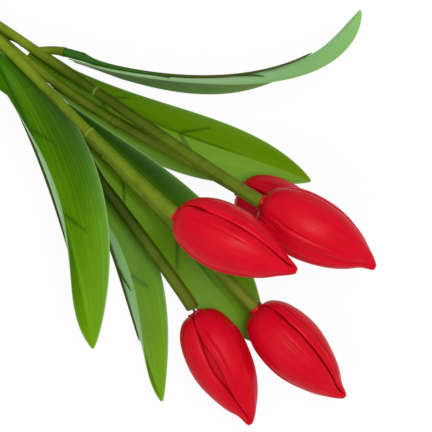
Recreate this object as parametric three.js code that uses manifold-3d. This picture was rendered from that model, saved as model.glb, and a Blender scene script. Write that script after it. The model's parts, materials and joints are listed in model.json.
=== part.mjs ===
// Artificial tulip bouquet lying on a table: a moulded bush frame with five wire-cored branches,
// a fluted upper stem pushed onto each branch, a closed tulip head on each wire and a leaf on each peg.
// Millimetres and degrees. +X runs from the cut end of the trunk to the heads, +Z is up.
import * as THREE from "three";
import Module from "manifold-3d";

const wasm = await Module();
wasm.setup();

// Clearances
const FIT_GAP = 0.3; // between pieces that seat on each other
const HEAD_CLEARANCE = 1.5; // between the heads of neighbouring stems

// Bush frame and the wires in it
const TRUNK_LENGTH = 120;
const TRUNK_WALL = 1.7; // outside the wires
const TRUNK_CHAMFER = 0.8;
const CROWN_SWELL = 0.9; // the trunk is this much thicker where it divides
const CROWN_NOSE = 10; // length of the rounded end in front of the crown
const WIRE_RADIUS = 0.7;
const WIRE_WALL = 1.4; // between two wires in the trunk
const WIRE_INSERT = 14; // length of wire inside a head
const BRANCH_SHOULDER = 0.9; // step down from a branch to its spigot
const SPIGOT_WALL = 0.6;
const SPIGOT_LENGTH = 8;

// Upper stems
const SOCKET_WALL = 0.9; // around a spigot
const STEM_FLARE = 0.7; // growth of the radius from collar to head
const COLLAR_BEAD = 0.3;
const COLLAR_LENGTH = 2.4;
const FLUTE_COUNT = 6;
const FLUTE_DEPTH = 0.3;
const SHOULDER_LENGTH = 2.4; // rounded end under a head

// Tulip heads
const HEAD_LENGTH = 65;
const HEAD_RADIUS = 17;
const HEAD_BASE_RADIUS = 4.3; // opening at the bottom of the petals
const HEAD_TIP_RADIUS = 1.5;
const HUB_DROP = 0.6; // the hub of the bud core shows this far under the petals
const BELLY_SHARE = 0.38; // share of the height at which a head is widest
const TAPER_POWER = 0.85;
const PETAL_THICKNESS = 0.8;
const OUTER_HALF_ANGLE = 56;
const INNER_HALF_ANGLE = 48;
const INNER_HEIGHT_SHARE = 0.93;
const CORE_HEIGHT_SHARE = 0.8;
const CORE_SHARE = 0.92; // of the room inside the inner petals
const OUTER_DIP = 0.14; // share of the radius by which the margins of an outer petal fall in
const INNER_DIP = 0.1;

// Leaves
const LEAF_LENGTH = 170;
const LEAF_WIDTH = 40;
const BLADE_THICKNESS = 0.6;
const BLADE_START = 9; // distance from the mouth of the socket to the foot of the blade
const BLADE_FOOT = 3; // half-width at the foot
const FOOT_SHARE = 0.12; // share of the length over which the fold opens
const BLADE_TIP = 0.4; // half-width at the tip
const BLADE_CUP = 14; // angle by which each half of a blade curves from fold to margin
const PIN_RADIUS = 1.2;
const PIN_LENGTH = 9;
const PEG_WALL = 0.9; // of the socket that turns on a pin
const SOCKET_CAP = 1.7; // solid end of the socket in front of the pin
const PEG_FLANGE = 0.2; // a peg stands this far outside its socket
const PEG_REACH = 8; // from the middle of a stem out to the shoulder of a peg
const PEG_RISE = 12; // along the stem
const RIB_END_SHARE = 0.8;
const RIB_RADIUS = 1.3;
const RIB_TIP_RADIUS = 0.5;
const VEIN_SHARES = [0.33, 0.62];
const VEIN_LENGTH = 18;
const VEIN_RADIUS = 0.6;
const VEIN_ANGLE = 38;

// Sizes that follow from the ones above
const BORE_RADIUS = WIRE_RADIUS + FIT_GAP;
const SPIGOT_RADIUS = BORE_RADIUS + SPIGOT_WALL;
const BRANCH_RADIUS = SPIGOT_RADIUS + BRANCH_SHOULDER;
const STEM_RADIUS = SPIGOT_RADIUS + FIT_GAP + SOCKET_WALL;
const PEG_SOCKET_RADIUS = PIN_RADIUS + FIT_GAP + PEG_WALL;
const SOCKET_SHARE = (PIN_LENGTH + FIT_GAP + SOCKET_CAP) / LEAF_LENGTH; // straight part of a leaf
const HEAD_SPACING = 2 * HEAD_RADIUS + HEAD_CLEARANCE;

// One entry for each branch. It leaves the crown at the angles leave and rise and reaches its head
// along the head's axis, with ease as the lengths of the two tangents. The foot of the head is reach
// ahead of the crown, across and up by a number of head spacings; its axis is at yaw and pitch, and
// turn rolls it. Clock is the place of the wire in the trunk, collar the start of the upper stem.
// A leaf's peg stands at a distance from the crown, around the stem. The leaf sets off at yaw and
// pitch; bend and sweep curve it up and sideways, twist and fold turn its section, each as a start
// value, an even growth and a late growth along the blade. Breadth widens its left and right half,
// and belly moves its widest part towards the tip.
const BRANCHES = [
  {
    reach: 155.1, across: -0.215, up: 1.465, yaw: 15, pitch: 8, turn: 16,
    leave: 0, rise: 12, ease: [25, 12], collar: 99, gap: 0.3, clock: 90,
    leaf: {
      at: 9.5, around: 160, yaw: -19.9, pitch: -1.5, breadth: [1.3, 1], belly: 0.95,
      bend: [0, 7, -17], sweep: [0, -24.3, 6], twist: [-31, -42.7, 66.7], fold: [35, 49, -76],
    },
  },
  {
    reach: 183, across: 0.69, up: 1.1, yaw: 13, pitch: 1, turn: -25,
    leave: 8, rise: 6, ease: [40, 12], collar: 82, gap: 0.3, clock: 18,
    leaf: {
      at: 44, around: -9, yaw: 24.4, pitch: 23, breadth: [1, 1], belly: 1.27,
      bend: [0, -37, 24], sweep: [0, 31, 49], twist: [89, 0, 72], fold: [5, 0, 15],
    },
  },
  {
    reach: 170, across: 0.655, up: 0, yaw: 10, pitch: 0, turn: 40,
    leave: -6, rise: 9, ease: [70, 40], collar: 96, gap: 0.3, clock: -54,
    leaf: {
      at: 20, around: -31, yaw: 3.9, pitch: -2.7, breadth: [1, 1], belly: 1.27,
      bend: [0, 2.4, -1.2], sweep: [0, 38, -25], twist: [29, 0, -19], fold: [23, 0, -13],
    },
  },
  {
    reach: 218, across: -0.53, up: 0, yaw: -5, pitch: 0, turn: 31,
    leave: -5, rise: 11, ease: [60, 40], collar: 104, gap: 0.3, clock: -126,
    leaf: {
      at: 54, around: -75, yaw: -2.9, pitch: -2.3, breadth: [1, 1], belly: 1.27,
      bend: [0, 1, -1.4], sweep: [0, -21, 18], twist: [2, 0, 5], fold: [9, 0, -12],
    },
  },
  {
    reach: 195, across: -1.162, up: 0, yaw: -21, pitch: 0, turn: 75,
    leave: -5, rise: 18, ease: [50, 15], collar: 104, gap: 2, clock: 162,
    leaf: {
      at: 50, around: 241, yaw: -13.7, pitch: -10.4, breadth: [1, 1], belly: 1.27,
      bend: [0, 29, -23], sweep: [0, -42, 29], twist: [-40, -44, 60], fold: [10, 90, -78],
    },
  },
];

// Resolution of the faces
const STEM_SIDES = 2 * FLUTE_COUNT;
const WIRE_SIDES = 5;
const PEG_SIDES = 8;
const RIB_SIDES = 5;
const PATH_STATIONS = 11;
const BRANCH_STATIONS = 6;
const STEM_STATIONS = 4;
const CORE_SIDES = 7;
const CORE_ROWS = 6;
const OUTER_ROWS = 7;
const INNER_ROWS = 5;
const LEAF_STEPS = 56; // of the midrib's integration
const LEAF_ROW = 4; // steps from one row of the blade to the next
const BLADE_COLUMNS = 4;

// Finishes
const FRAME_FINISH = { color: 0x6f8418, roughness: 0.55 };
const STEM_FINISH = { color: 0x7d9118, roughness: 0.5 };
const WIRE_FINISH = { color: 0x8a8f92, roughness: 0.35, metalness: 0.9 };
const PETAL_FINISH = { color: 0xc8001c, roughness: 0.45 };
const INNER_FINISH = { color: 0xb30018, roughness: 0.5 };
const CORE_FINISH = { color: 0x8c3a1c, roughness: 0.7 };
const BLADE_FINISH = { color: 0x4e8a08, roughness: 0.42 };
const SPINE_FINISH = { color: 0x2f5e10, roughness: 0.5 };

const radians = THREE.MathUtils.degToRad;
const vector = (x, y, z) => new THREE.Vector3(x, y, z);

// Whole numbers from 0 to count, divided by count
const shares = (count) => Array.from({ length: count + 1 }, (_, i) => i / count);

// A direction at yaw about Z, raised by pitch
function heading(yaw, pitch) {
  const flat = Math.cos(radians(pitch));
  return vector(flat * Math.cos(radians(yaw)), flat * Math.sin(radians(yaw)), Math.sin(radians(pitch)));
}

// Side and up, square to a direction and right-handed with it, up as near to a reference as it can be
function squareFrame(direction, reference = vector(0, 0, 1)) {
  const side = reference.clone().cross(direction).normalize();
  const up = direction.clone().cross(side);
  return { side, up };
}

// A closed solid through equal rings of points, each counter-clockwise about the way the rings run
function loft(rings) {
  const size = rings[0].length;
  const index = [];
  for (let row = 0; row + 1 < rings.length; row++) {
    for (let i = 0; i < size; i++) {
      const next = (i + 1) % size;
      const a = row * size + i;
      const b = row * size + next;
      index.push(a, b, b + size, a, b + size, a + size);
    }
  }
  const last = (rings.length - 1) * size;
  for (let low = 0, high = size - 1; low + 1 < high; low++, high--) {
    index.push(high, low + 1, low, last + low, last + low + 1, last + high);
    if (low + 2 < high) {
      index.push(high, high - 1, low + 1, last + high, last + low + 1, last + high - 1);
    }
  }
  const geometry = new THREE.BufferGeometry();
  const points = rings.flat().flatMap((point) => point.toArray());
  geometry.setAttribute("position", new THREE.Float32BufferAttribute(points, 3));
  geometry.setIndex(index);
  return geometry;
}

// A ring of points round a centre in a frame's plane; flute sinks every second point
function ring(centre, frame, radius, sides, flute = 0) {
  return Array.from({ length: sides }, (_, i) => {
    const angle = (2 * Math.PI * i) / sides;
    const reach = radius - (i % 2) * flute;
    return centre
      .clone()
      .addScaledVector(frame.side, reach * Math.cos(angle))
      .addScaledVector(frame.up, reach * Math.sin(angle));
  });
}

// Joins and cuts work on solids; the geometry of the result goes into a mesh
function solid(geometry) {
  const mesh = new wasm.Mesh({
    numProp: 3,
    vertProperties: Float32Array.from(geometry.attributes.position.array),
    triVerts: Uint32Array.from(geometry.index.array),
  });
  mesh.merge();
  return new wasm.Manifold(mesh);
}

function geometryOf(body) {
  const { vertProperties, triVerts, numProp } = body.getMesh();
  const points = new THREE.BufferAttribute(vertProperties, numProp);
  const geometry = new THREE.BufferGeometry();
  geometry.setAttribute("position", points);
  geometry.setIndex(new THREE.BufferAttribute(triVerts, 1));
  return geometry;
}

function named(name, geometry, finish) {
  geometry.computeVertexNormals();
  const mesh = new THREE.Mesh(geometry, new THREE.MeshStandardMaterial(finish));
  mesh.name = name;
  return mesh;
}

// A group whose +Z lies along a direction, with +Y up before it is rolled
function turnedGroup(name, origin, direction, roll) {
  const { side, up } = squareFrame(direction);
  const group = new THREE.Group();
  group.name = name;
  group.position.copy(origin);
  group.setRotationFromMatrix(new THREE.Matrix4().makeBasis(side, up, direction));
  group.rotateZ(radians(roll));
  return group;
}

// Wires stand on a circle in the trunk, and the trunk lies on the table
const WIRE_CIRCLE = (2 * BORE_RADIUS + WIRE_WALL) / (2 * Math.sin(Math.PI / BRANCHES.length));
const TRUNK_RADIUS = WIRE_CIRCLE + BORE_RADIUS + TRUNK_WALL;
const TRUNK_HEIGHT = TRUNK_RADIUS + CROWN_SWELL;

// The line of a wire from the cut end through trunk and branch into the head
function wirePath(branch) {
  const clock = radians(branch.clock);
  const crown = vector(0, WIRE_CIRCLE * Math.cos(clock), TRUNK_HEIGHT + WIRE_CIRCLE * Math.sin(clock));
  const axis = heading(branch.yaw, branch.pitch);
  const foot = vector(
    branch.reach,
    branch.across * HEAD_SPACING,
    HEAD_RADIUS + branch.up * HEAD_SPACING,
  );
  const top = foot.clone().addScaledVector(axis, -branch.gap - HUB_DROP);
  const path = new THREE.CurvePath();
  path.add(new THREE.LineCurve3(crown.clone().setX(-TRUNK_LENGTH), crown));
  path.add(
    new THREE.CubicBezierCurve3(
      crown,
      crown.clone().addScaledVector(heading(branch.leave, branch.rise), branch.ease[0]),
      top.clone().addScaledVector(axis, -branch.ease[1]),
      top,
    ),
  );
  path.add(new THREE.LineCurve3(top, foot.clone().addScaledVector(axis, WIRE_INSERT)));
  const lengths = path.getCurveLengths();
  return { path, foot, axis, crownAt: lengths[0], topAt: lengths[1], length: lengths[2] };
}

// Place, direction and frame at a distance along a path
function station(wire, distance) {
  const share = THREE.MathUtils.clamp(distance / wire.length, 0, 1);
  const direction = wire.path.getTangentAt(share);
  return { centre: wire.path.getPointAt(share), direction, ...squareFrame(direction) };
}

// Rings of a round bar along a path, from pairs of a distance and a radius
function bar(wire, profile, sides, flute = 0) {
  return profile.map(([distance, radius, fluted]) => {
    const spot = station(wire, distance);
    return ring(spot.centre, spot, radius, sides, fluted ? flute : 0);
  });
}

// Rings of a bar of the wire's own stations; reach carries both ends beyond the path
function wireBar(wire, radius, reach) {
  const bend = shares(PATH_STATIONS).map((share) =>
    THREE.MathUtils.lerp(wire.crownAt, wire.topAt, share),
  );
  return [0, ...bend, wire.length].map((distance) => {
    const spot = station(wire, distance);
    const ahead = distance === 0 ? -reach : distance === wire.length ? reach : 0;
    return ring(spot.centre.addScaledVector(spot.direction, ahead), spot, radius, WIRE_SIDES);
  });
}

// The trunk, level along X, swelling towards the crown and rounded off in front of it
function trunk() {
  const full = TRUNK_RADIUS;
  const crown = TRUNK_RADIUS + CROWN_SWELL;
  const profile = [
    [-TRUNK_LENGTH, full - TRUNK_CHAMFER],
    [-TRUNK_LENGTH + TRUNK_CHAMFER, full],
    [-0.3 * TRUNK_LENGTH, full],
    [-0.5 * CROWN_NOSE, crown],
    [0.3 * CROWN_NOSE, crown],
    [0.7 * CROWN_NOSE, 0.85 * crown],
    [CROWN_NOSE, 0.5 * crown],
  ];
  const frame = squareFrame(vector(1, 0, 0));
  return loft(profile.map(([x, radius]) => ring(vector(x, 0, TRUNK_HEIGHT), frame, radius, 16)));
}

// A branch from inside the crown to the spigot that carries the upper stem
function branchBar(wire, branch) {
  const collar = wire.crownAt + branch.collar;
  const spigot = collar + SPIGOT_LENGTH;
  const limb = shares(BRANCH_STATIONS).map((share) => [
    THREE.MathUtils.lerp(wire.crownAt - 2, collar, share),
    BRANCH_RADIUS,
  ]);
  const end = [
    [collar, SPIGOT_RADIUS],
    [spigot, SPIGOT_RADIUS],
  ];
  return loft(bar(wire, [...limb, ...end], STEM_SIDES));
}

// The shoulder of a leaf's peg: its place beside the stem and the way the leaf sets off
function pegSeat(wire, leaf) {
  const { centre, direction, side, up } = station(wire, wire.crownAt + leaf.at);
  const around = radians(leaf.around);
  const outward = side.multiplyScalar(Math.cos(around)).addScaledVector(up, Math.sin(around));
  const seat = centre
    .clone()
    .addScaledVector(outward, PEG_REACH)
    .addScaledVector(direction, PEG_RISE);
  return { root: centre, seat, axis: heading(leaf.yaw, leaf.pitch) };
}

// A peg grows out of the stem, ends in a flat shoulder and carries a pin
function pegBar(peg) {
  const bend = new THREE.QuadraticBezierCurve3(
    peg.root,
    peg.seat.clone().addScaledVector(peg.axis, -0.7 * PEG_RISE),
    peg.seat,
  );
  const full = PEG_SOCKET_RADIUS + PEG_FLANGE;
  const neck = shares(4).map((share) => {
    const radius = full - 0.4 * Math.sin(Math.PI * share);
    return ring(bend.getPoint(share), squareFrame(bend.getTangent(share)), radius, PEG_SIDES);
  });
  const frame = squareFrame(peg.axis);
  const pin = [0, PIN_LENGTH].map((along) =>
    ring(peg.seat.clone().addScaledVector(peg.axis, along), frame, PIN_RADIUS, PEG_SIDES),
  );
  return loft([...neck, ...pin]);
}

// A fluted sleeve from the collar, where it takes the spigot, to a rounded end under the head
function upperStem(wire, branch) {
  const collar = wire.crownAt + branch.collar + FIT_GAP;
  const bead = collar + COLLAR_LENGTH;
  const shoulder = wire.topAt - SHOULDER_LENGTH;
  const limb = shares(STEM_STATIONS).map((share) => [
    THREE.MathUtils.lerp(bead, shoulder, share),
    STEM_RADIUS + STEM_FLARE * share,
    true,
  ]);
  const profile = [
    [collar, STEM_RADIUS],
    [collar + 0.3 * COLLAR_LENGTH, STEM_RADIUS + COLLAR_BEAD],
    [collar + 0.7 * COLLAR_LENGTH, STEM_RADIUS + COLLAR_BEAD],
    ...limb,
    [wire.topAt - 0.4 * SHOULDER_LENGTH, STEM_RADIUS + 0.5 * STEM_FLARE],
    [wire.topAt, BORE_RADIUS + SOCKET_WALL],
  ];
  const outside = solid(loft(bar(wire, profile, STEM_SIDES, FLUTE_DEPTH)));
  const mouth = [
    [collar - COLLAR_LENGTH, SPIGOT_RADIUS + FIT_GAP],
    [collar + SPIGOT_LENGTH, SPIGOT_RADIUS + FIT_GAP],
  ];
  const socket = solid(loft(bar(wire, mouth, STEM_SIDES)));
  const bore = solid(loft(wireBar(wire, BORE_RADIUS, SPIGOT_LENGTH)));
  return geometryOf(outside.subtract(socket).subtract(bore));
}

// The outline of a bud: radius and height at a share of its height
function budOutline(share) {
  const height = share * HEAD_LENGTH;
  if (share < BELLY_SHARE) {
    const below = 1 - share / BELLY_SHARE;
    const swell = Math.sqrt(1 - below * below);
    return new THREE.Vector2(THREE.MathUtils.lerp(HEAD_BASE_RADIUS, HEAD_RADIUS, swell), height);
  }
  const above = Math.min((share - BELLY_SHARE) / (1 - BELLY_SHARE), 1);
  const taper = Math.max(Math.cos((above * Math.PI) / 2), 0) ** TAPER_POWER;
  return new THREE.Vector2(THREE.MathUtils.lerp(HEAD_TIP_RADIUS, HEAD_RADIUS, taper), height);
}

// A point at a depth under the bud's outline, measured square to it
function budLayer(share, depth) {
  const step = 0.001;
  const before = budOutline(Math.max(share - step, 0));
  const after = budOutline(Math.min(share + step, 1));
  const along = after.sub(before).normalize();
  return budOutline(share).add(new THREE.Vector2(-along.y, along.x).multiplyScalar(depth));
}

// A petal: a thin shell between two depths whose margins fall in towards the axis
function petal({ angle, halfAngle, top, columns, count, depth, scale, dip }) {
  const across = shares(columns).map((share) => 2 * share - 1);
  const rows = shares(count).map((share) => (top * (1 - Math.cos(Math.PI * share))) / 2);
  const point = (share, offset, under) => {
    const layer = budLayer(share, under);
    const narrowed = 1 - 0.4 * Math.max(share / top - 0.8, 0) ** 2 / 0.04;
    const fall = scale * (1 - dip * Math.abs(offset) ** 2.5);
    const radius = HEAD_BASE_RADIUS + (layer.x - HEAD_BASE_RADIUS) * fall;
    const bearing = radians(angle + halfAngle * narrowed * offset);
    return vector(radius * Math.cos(bearing), radius * Math.sin(bearing), layer.y);
  };
  return loft(
    rows.map((share) => [
      ...across.map((offset) => point(share, offset, depth)),
      ...across.map((offset) => point(share, -offset, depth + PETAL_THICKNESS)),
    ]),
  );
}

// The bud core: a hub bored for the wire under a body that fills the inner petals
function budCore() {
  const depth = 2 * PETAL_THICKNESS + 3 * FIT_GAP;
  const scale = CORE_SHARE * (1 - OUTER_DIP) * (1 - INNER_DIP);
  const hub = HEAD_BASE_RADIUS - FIT_GAP;
  const boreTop = WIRE_INSERT + FIT_GAP;
  const body = shares(CORE_ROWS).map((share) => {
    const layer = budLayer(CORE_HEIGHT_SHARE * (1 - Math.cos(Math.PI * share)) * 0.5, depth);
    const radius = HEAD_BASE_RADIUS + (layer.x - HEAD_BASE_RADIUS) * scale;
    return new THREE.Vector2(share === 0 ? hub : radius, layer.y);
  });
  const profile = [
    new THREE.Vector2(0, boreTop),
    new THREE.Vector2(BORE_RADIUS, boreTop),
    new THREE.Vector2(BORE_RADIUS, -HUB_DROP),
    new THREE.Vector2(hub, -HUB_DROP),
    ...body,
    new THREE.Vector2(0, body.at(-1).y + 1),
  ];
  const turned = new THREE.LatheGeometry(profile, CORE_SIDES).rotateX(Math.PI / 2);
  return geometryOf(solid(turned));
}

function tulipHead(number, wire, turn) {
  const head = turnedGroup(`head_${number}`, wire.foot, wire.axis, turn);
  head.add(named(`bud_core_${number}`, budCore(), CORE_FINISH));
  ["a", "b", "c"].forEach((letter, i) => {
    const outer = petal({
      angle: 90 + 120 * i,
      halfAngle: OUTER_HALF_ANGLE,
      top: 1,
      columns: 6,
      count: OUTER_ROWS,
      depth: 0,
      scale: 1,
      dip: OUTER_DIP,
    });
    const inner = petal({
      angle: 150 + 120 * i,
      halfAngle: INNER_HALF_ANGLE,
      top: INNER_HEIGHT_SHARE,
      columns: 4,
      count: INNER_ROWS,
      depth: PETAL_THICKNESS + FIT_GAP,
      scale: 1 - OUTER_DIP,
      dip: INNER_DIP,
    });
    head.add(named(`outer_petal_${number}_${letter}`, outer, PETAL_FINISH));
    head.add(named(`inner_petal_${number}_${letter}`, inner, INNER_FINISH));
  });
  return head;
}

// Width of one half of the blade, laid flat, at a share of its length; hand is 1 on the left
function bladeHalfWidth(leaf, share, hand) {
  const body = Math.max(Math.sin(Math.PI * share ** leaf.belly), 0) ** 0.85;
  const full = leaf.breadth[hand > 0 ? 0 : 1] * (LEAF_WIDTH / 2 - BLADE_TIP);
  return BLADE_TIP + BLADE_FOOT * (1 - share) ** 3 + full * body;
}

// A value along the blade from its start, even and late growth
const grown = ([start, even, late], share) => radians(start + even * share + late * share ** 3);

// The midrib of a bent leaf, stepped from the mouth of its socket to the tip; the socket is straight
function midrib(leaf) {
  const lift = PEG_SOCKET_RADIUS + FIT_GAP + BLADE_THICKNESS;
  const start = grown(leaf.twist, 0);
  const centre = vector(-lift * Math.sin(start), lift * Math.cos(start), 0);
  const beyondSocket = (share) => Math.max(share - SOCKET_SHARE, 0) / (1 - SOCKET_SHARE);
  const directionAt = (share) => {
    const bend = grown(leaf.bend, beyondSocket(share));
    const sweep = grown(leaf.sweep, beyondSocket(share));
    const level = Math.cos(bend);
    return vector(level * Math.sin(sweep), Math.sin(bend), level * Math.cos(sweep));
  };
  return shares(LEAF_STEPS).map((share) => {
    const { side, up } = squareFrame(directionAt(share), vector(0, 1, 0));
    const free = beyondSocket(share);
    const twist = grown(leaf.twist, free);
    const spot = {
      leaf,
      share,
      fold: grown(leaf.fold, free) * Math.min(free / FOOT_SHARE, 1),
      centre: centre.clone(),
      side: side.clone().multiplyScalar(Math.cos(twist)).addScaledVector(up, Math.sin(twist)),
      up: up.clone().multiplyScalar(Math.cos(twist)).addScaledVector(side, -Math.sin(twist)),
    };
    centre.addScaledVector(directionAt(share + 0.5 / LEAF_STEPS), LEAF_LENGTH / LEAF_STEPS);
    return spot;
  });
}

// A point of the blade at an offset of -1 to 1 from the midrib and a depth under its upper face.
// Each half rises at the fold angle and curves on by the cup; the fold itself is mitred.
function bladePoint(spot, offset, depth) {
  const half = bladeHalfWidth(spot.leaf, spot.share, offset);
  const cup = radians(BLADE_CUP);
  const slope = spot.fold + cup * Math.abs(offset);
  const across = (half / cup) * (Math.sin(slope) - Math.sin(spot.fold)) + depth * Math.sin(slope);
  const rise = (half / cup) * (Math.cos(spot.fold) - Math.cos(slope)) - depth * Math.cos(slope);
  const point = spot.centre.clone();
  if (offset === 0) {
    return point.addScaledVector(spot.up, -depth / Math.cos(spot.fold));
  }
  return point.addScaledVector(spot.side, Math.sign(offset) * across).addScaledVector(spot.up, rise);
}

function leafBlade(spots) {
  const across = shares(BLADE_COLUMNS).map((share) => 2 * share - 1);
  const first = Math.ceil((BLADE_START / LEAF_LENGTH) * LEAF_STEPS);
  const rows = spots.filter((_, i) => i >= first && (LEAF_STEPS - i) % LEAF_ROW === 0);
  return loft(
    rows.map((spot) => [
      ...across.map((offset) => bladePoint(spot, -offset, 0)),
      ...across.map((offset) => bladePoint(spot, offset, BLADE_THICKNESS)),
    ]),
  );
}

// The radius of a leaf's rib: that of the socket, then a taper to its end
function ribRadius(share) {
  const neck = Math.exp(-Math.max(share - SOCKET_SHARE, 0) * 25);
  const taper = THREE.MathUtils.lerp(RIB_RADIUS, RIB_TIP_RADIUS, share / RIB_END_SHARE);
  return THREE.MathUtils.lerp(taper, PEG_SOCKET_RADIUS, neck);
}

// A side vein from the rib outwards under one half of the blade
function sideVein(spots, share, hand) {
  const along = (VEIN_LENGTH * Math.cos(radians(VEIN_ANGLE))) / LEAF_LENGTH;
  const out = VEIN_LENGTH * Math.sin(radians(VEIN_ANGLE));
  const rings = shares(2).map((reach) => {
    const spot = spots[Math.round((share + along * reach) * LEAF_STEPS)];
    const radius = VEIN_RADIUS * (1 - 0.4 * reach);
    const offset = (hand * out * reach) / bladeHalfWidth(spot.leaf, spot.share, hand);
    const centre = bladePoint(spot, offset, BLADE_THICKNESS + FIT_GAP + radius);
    return ring(centre, spot, radius, RIB_SIDES);
  });
  return loft(rings);
}

// The moulded spine under the blade: a socket for the pin, a tapered rib and pairs of side veins
function leafSpine(spots) {
  const ribSpots = spots.filter((spot, i) => i % LEAF_ROW === 0 && spot.share <= RIB_END_SHARE);
  const rib = ribSpots.map((spot) => {
    const radius = ribRadius(spot.share);
    const under = bladePoint(spot, 0, BLADE_THICKNESS);
    return ring(under.addScaledVector(spot.up, -FIT_GAP - radius), spot, radius, RIB_SIDES);
  });
  const pinFrame = { side: vector(1, 0, 0), up: vector(0, 1, 0) };
  const hole = [-1 - FIT_GAP, PIN_LENGTH + FIT_GAP].map((z) =>
    ring(vector(0, 0, z), pinFrame, PIN_RADIUS + FIT_GAP, PEG_SIDES),
  );
  const veins = VEIN_SHARES.flatMap((share) => [-1, 1].map((hand) => sideVein(spots, share, hand)));
  const joined = veins.reduce((spine, vein) => spine.add(solid(vein)), solid(loft(rib)));
  return geometryOf(joined.subtract(solid(loft(hole))));
}

function tulipLeaf(number, peg, leaf) {
  const mouth = peg.seat.clone().addScaledVector(peg.axis, FIT_GAP);
  const group = turnedGroup(`leaf_${number}`, mouth, peg.axis, 0);
  const spots = midrib(leaf);
  group.add(named(`leaf_blade_${number}`, leafBlade(spots), BLADE_FINISH));
  group.add(named(`leaf_spine_${number}`, leafSpine(spots), SPINE_FINISH));
  return group;
}

// Assembly
const bouquet = new THREE.Group();
bouquet.name = "tulip_bouquet";
let frame = solid(trunk());
const bores = [];
BRANCHES.forEach((branch, i) => {
  const number = i + 1;
  const wire = wirePath(branch);
  const peg = pegSeat(wire, branch.leaf);
  frame = frame.add(solid(branchBar(wire, branch))).add(solid(pegBar(peg)));
  bores.push(solid(loft(wireBar(wire, BORE_RADIUS, SPIGOT_LENGTH))));
  bouquet.add(named(`core_wire_${number}`, loft(wireBar(wire, WIRE_RADIUS, 0)), WIRE_FINISH));
  bouquet.add(named(`upper_stem_${number}`, upperStem(wire, branch), STEM_FINISH));
  bouquet.add(tulipHead(number, wire, branch.turn));
  bouquet.add(tulipLeaf(number, peg, branch.leaf));
});
for (const bore of bores) {
  frame = frame.subtract(bore);
}
bouquet.add(named("bush_frame", geometryOf(frame), FRAME_FINISH));

// The origin is under the middle of the bouquet, on the table
bouquet.updateMatrixWorld(true);
const box = new THREE.Box3().setFromObject(bouquet, true);
const middle = box.getCenter(vector(0, 0, 0));
bouquet.position.set(-middle.x, -middle.y, -box.min.z);

export default bouquet;
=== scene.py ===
"""Looks of an artificial tulip bouquet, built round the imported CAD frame.

Shapes are worked out in millimetres in the bouquet's own frame: the origin is on the table under the
place where the trunk divides, +X runs towards the heads and +Z is up. Meshes are in metres.
"""
import json
import logging
from dataclasses import dataclass, field
from enum import Enum
from typing import Optional, Union

import bpy
import numpy as np
from mathutils import Matrix


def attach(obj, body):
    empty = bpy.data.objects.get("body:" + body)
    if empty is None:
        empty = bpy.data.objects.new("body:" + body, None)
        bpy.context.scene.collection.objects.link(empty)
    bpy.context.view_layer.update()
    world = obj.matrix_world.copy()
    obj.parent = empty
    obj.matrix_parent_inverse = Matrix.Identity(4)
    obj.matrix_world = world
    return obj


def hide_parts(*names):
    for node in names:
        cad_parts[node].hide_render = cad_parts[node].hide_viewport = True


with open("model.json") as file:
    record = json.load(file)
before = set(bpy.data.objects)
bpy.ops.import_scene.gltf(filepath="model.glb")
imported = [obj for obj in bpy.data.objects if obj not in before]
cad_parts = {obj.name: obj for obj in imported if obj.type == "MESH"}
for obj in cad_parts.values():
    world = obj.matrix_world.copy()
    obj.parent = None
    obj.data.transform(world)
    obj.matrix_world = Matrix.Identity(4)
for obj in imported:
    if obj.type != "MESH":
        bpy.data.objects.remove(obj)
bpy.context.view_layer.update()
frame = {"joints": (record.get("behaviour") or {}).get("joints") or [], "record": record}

MM = 0.001
FIT_GAP = 0.3
SHARP = 40  # angle in degrees past which an edge isn't smoothed
NOISE_BAND = (0.3, 0.7)  # nearly all of a noise lies between these values
Array = np.ndarray
Piece = bpy.types.Object
Material = bpy.types.Material
Tree = bpy.types.NodeTree
Socket = bpy.types.NodeSocket
log = logging.getLogger("bouquet")


def linear(colour: str) -> tuple[float, float, float, float]:
    """Turns an sRGB hex colour into linear values.

    Args:
        colour: six hex digits after a hash sign.

    Returns:
        Red, green and blue on a linear scale, and an alpha of 1.
    """
    parts = np.array([int(colour[i:i + 2], 16) for i in (1, 3, 5)]) / 255
    bright = np.where(parts <= 0.04045, parts / 12.92, ((parts + 0.055) / 1.055) ** 2.4)
    return (*bright.tolist(), 1.0)


def add_node(
    tree: Tree, kind: str, links: Union[dict, tuple] = (), out: Union[int, str] = 0, **settings: object,
) -> Optional[Socket]:
    """Adds a node with its settings and links.

    Args:
        tree: node tree that takes the node.
        kind: the node's type name, without the ShaderNode in front.
        links: an output socket or a plain value for each input, by name or number, or in their order.
        out: the output that is wanted.
        settings: properties of the node.

    Returns:
        That output, or None from a node that has no outputs.
    """
    node = tree.nodes.new("ShaderNode" + kind)
    for key, value in settings.items():
        setattr(node, key, value)
    for key, source in links.items() if isinstance(links, dict) else enumerate(links):
        if isinstance(source, Socket):
            tree.links.new(source, node.inputs[key])
        else:
            node.inputs[key].default_value = source
    return node.outputs[out] if node.outputs else None


def smoothstep(low: float, high: float, value: Array) -> Array:
    """Goes from 0 at low to 1 at high as 3t² − 2t³."""
    share = np.clip((value - low) / (high - low), 0, 1)
    return share * share * (3 - 2 * share)


def bell(value: Array, width: float) -> Array:
    """Goes from 1 at 0 down to both sides as exp(−(value/width)²)."""
    return np.exp(-(value / width) ** 2)


def unit(vectors: Array) -> Array:
    """Divides vectors by their lengths."""
    return vectors / np.linalg.norm(vectors, axis=-1, keepdims=True)


def heading(yaw: float, pitch: float) -> Array:
    """Gives the direction at yaw about Z, raised by pitch, both in degrees."""
    yaw, pitch = np.radians([yaw, pitch])
    return np.array([np.cos(pitch) * np.cos(yaw), np.cos(pitch) * np.sin(yaw), np.sin(pitch)])


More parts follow.
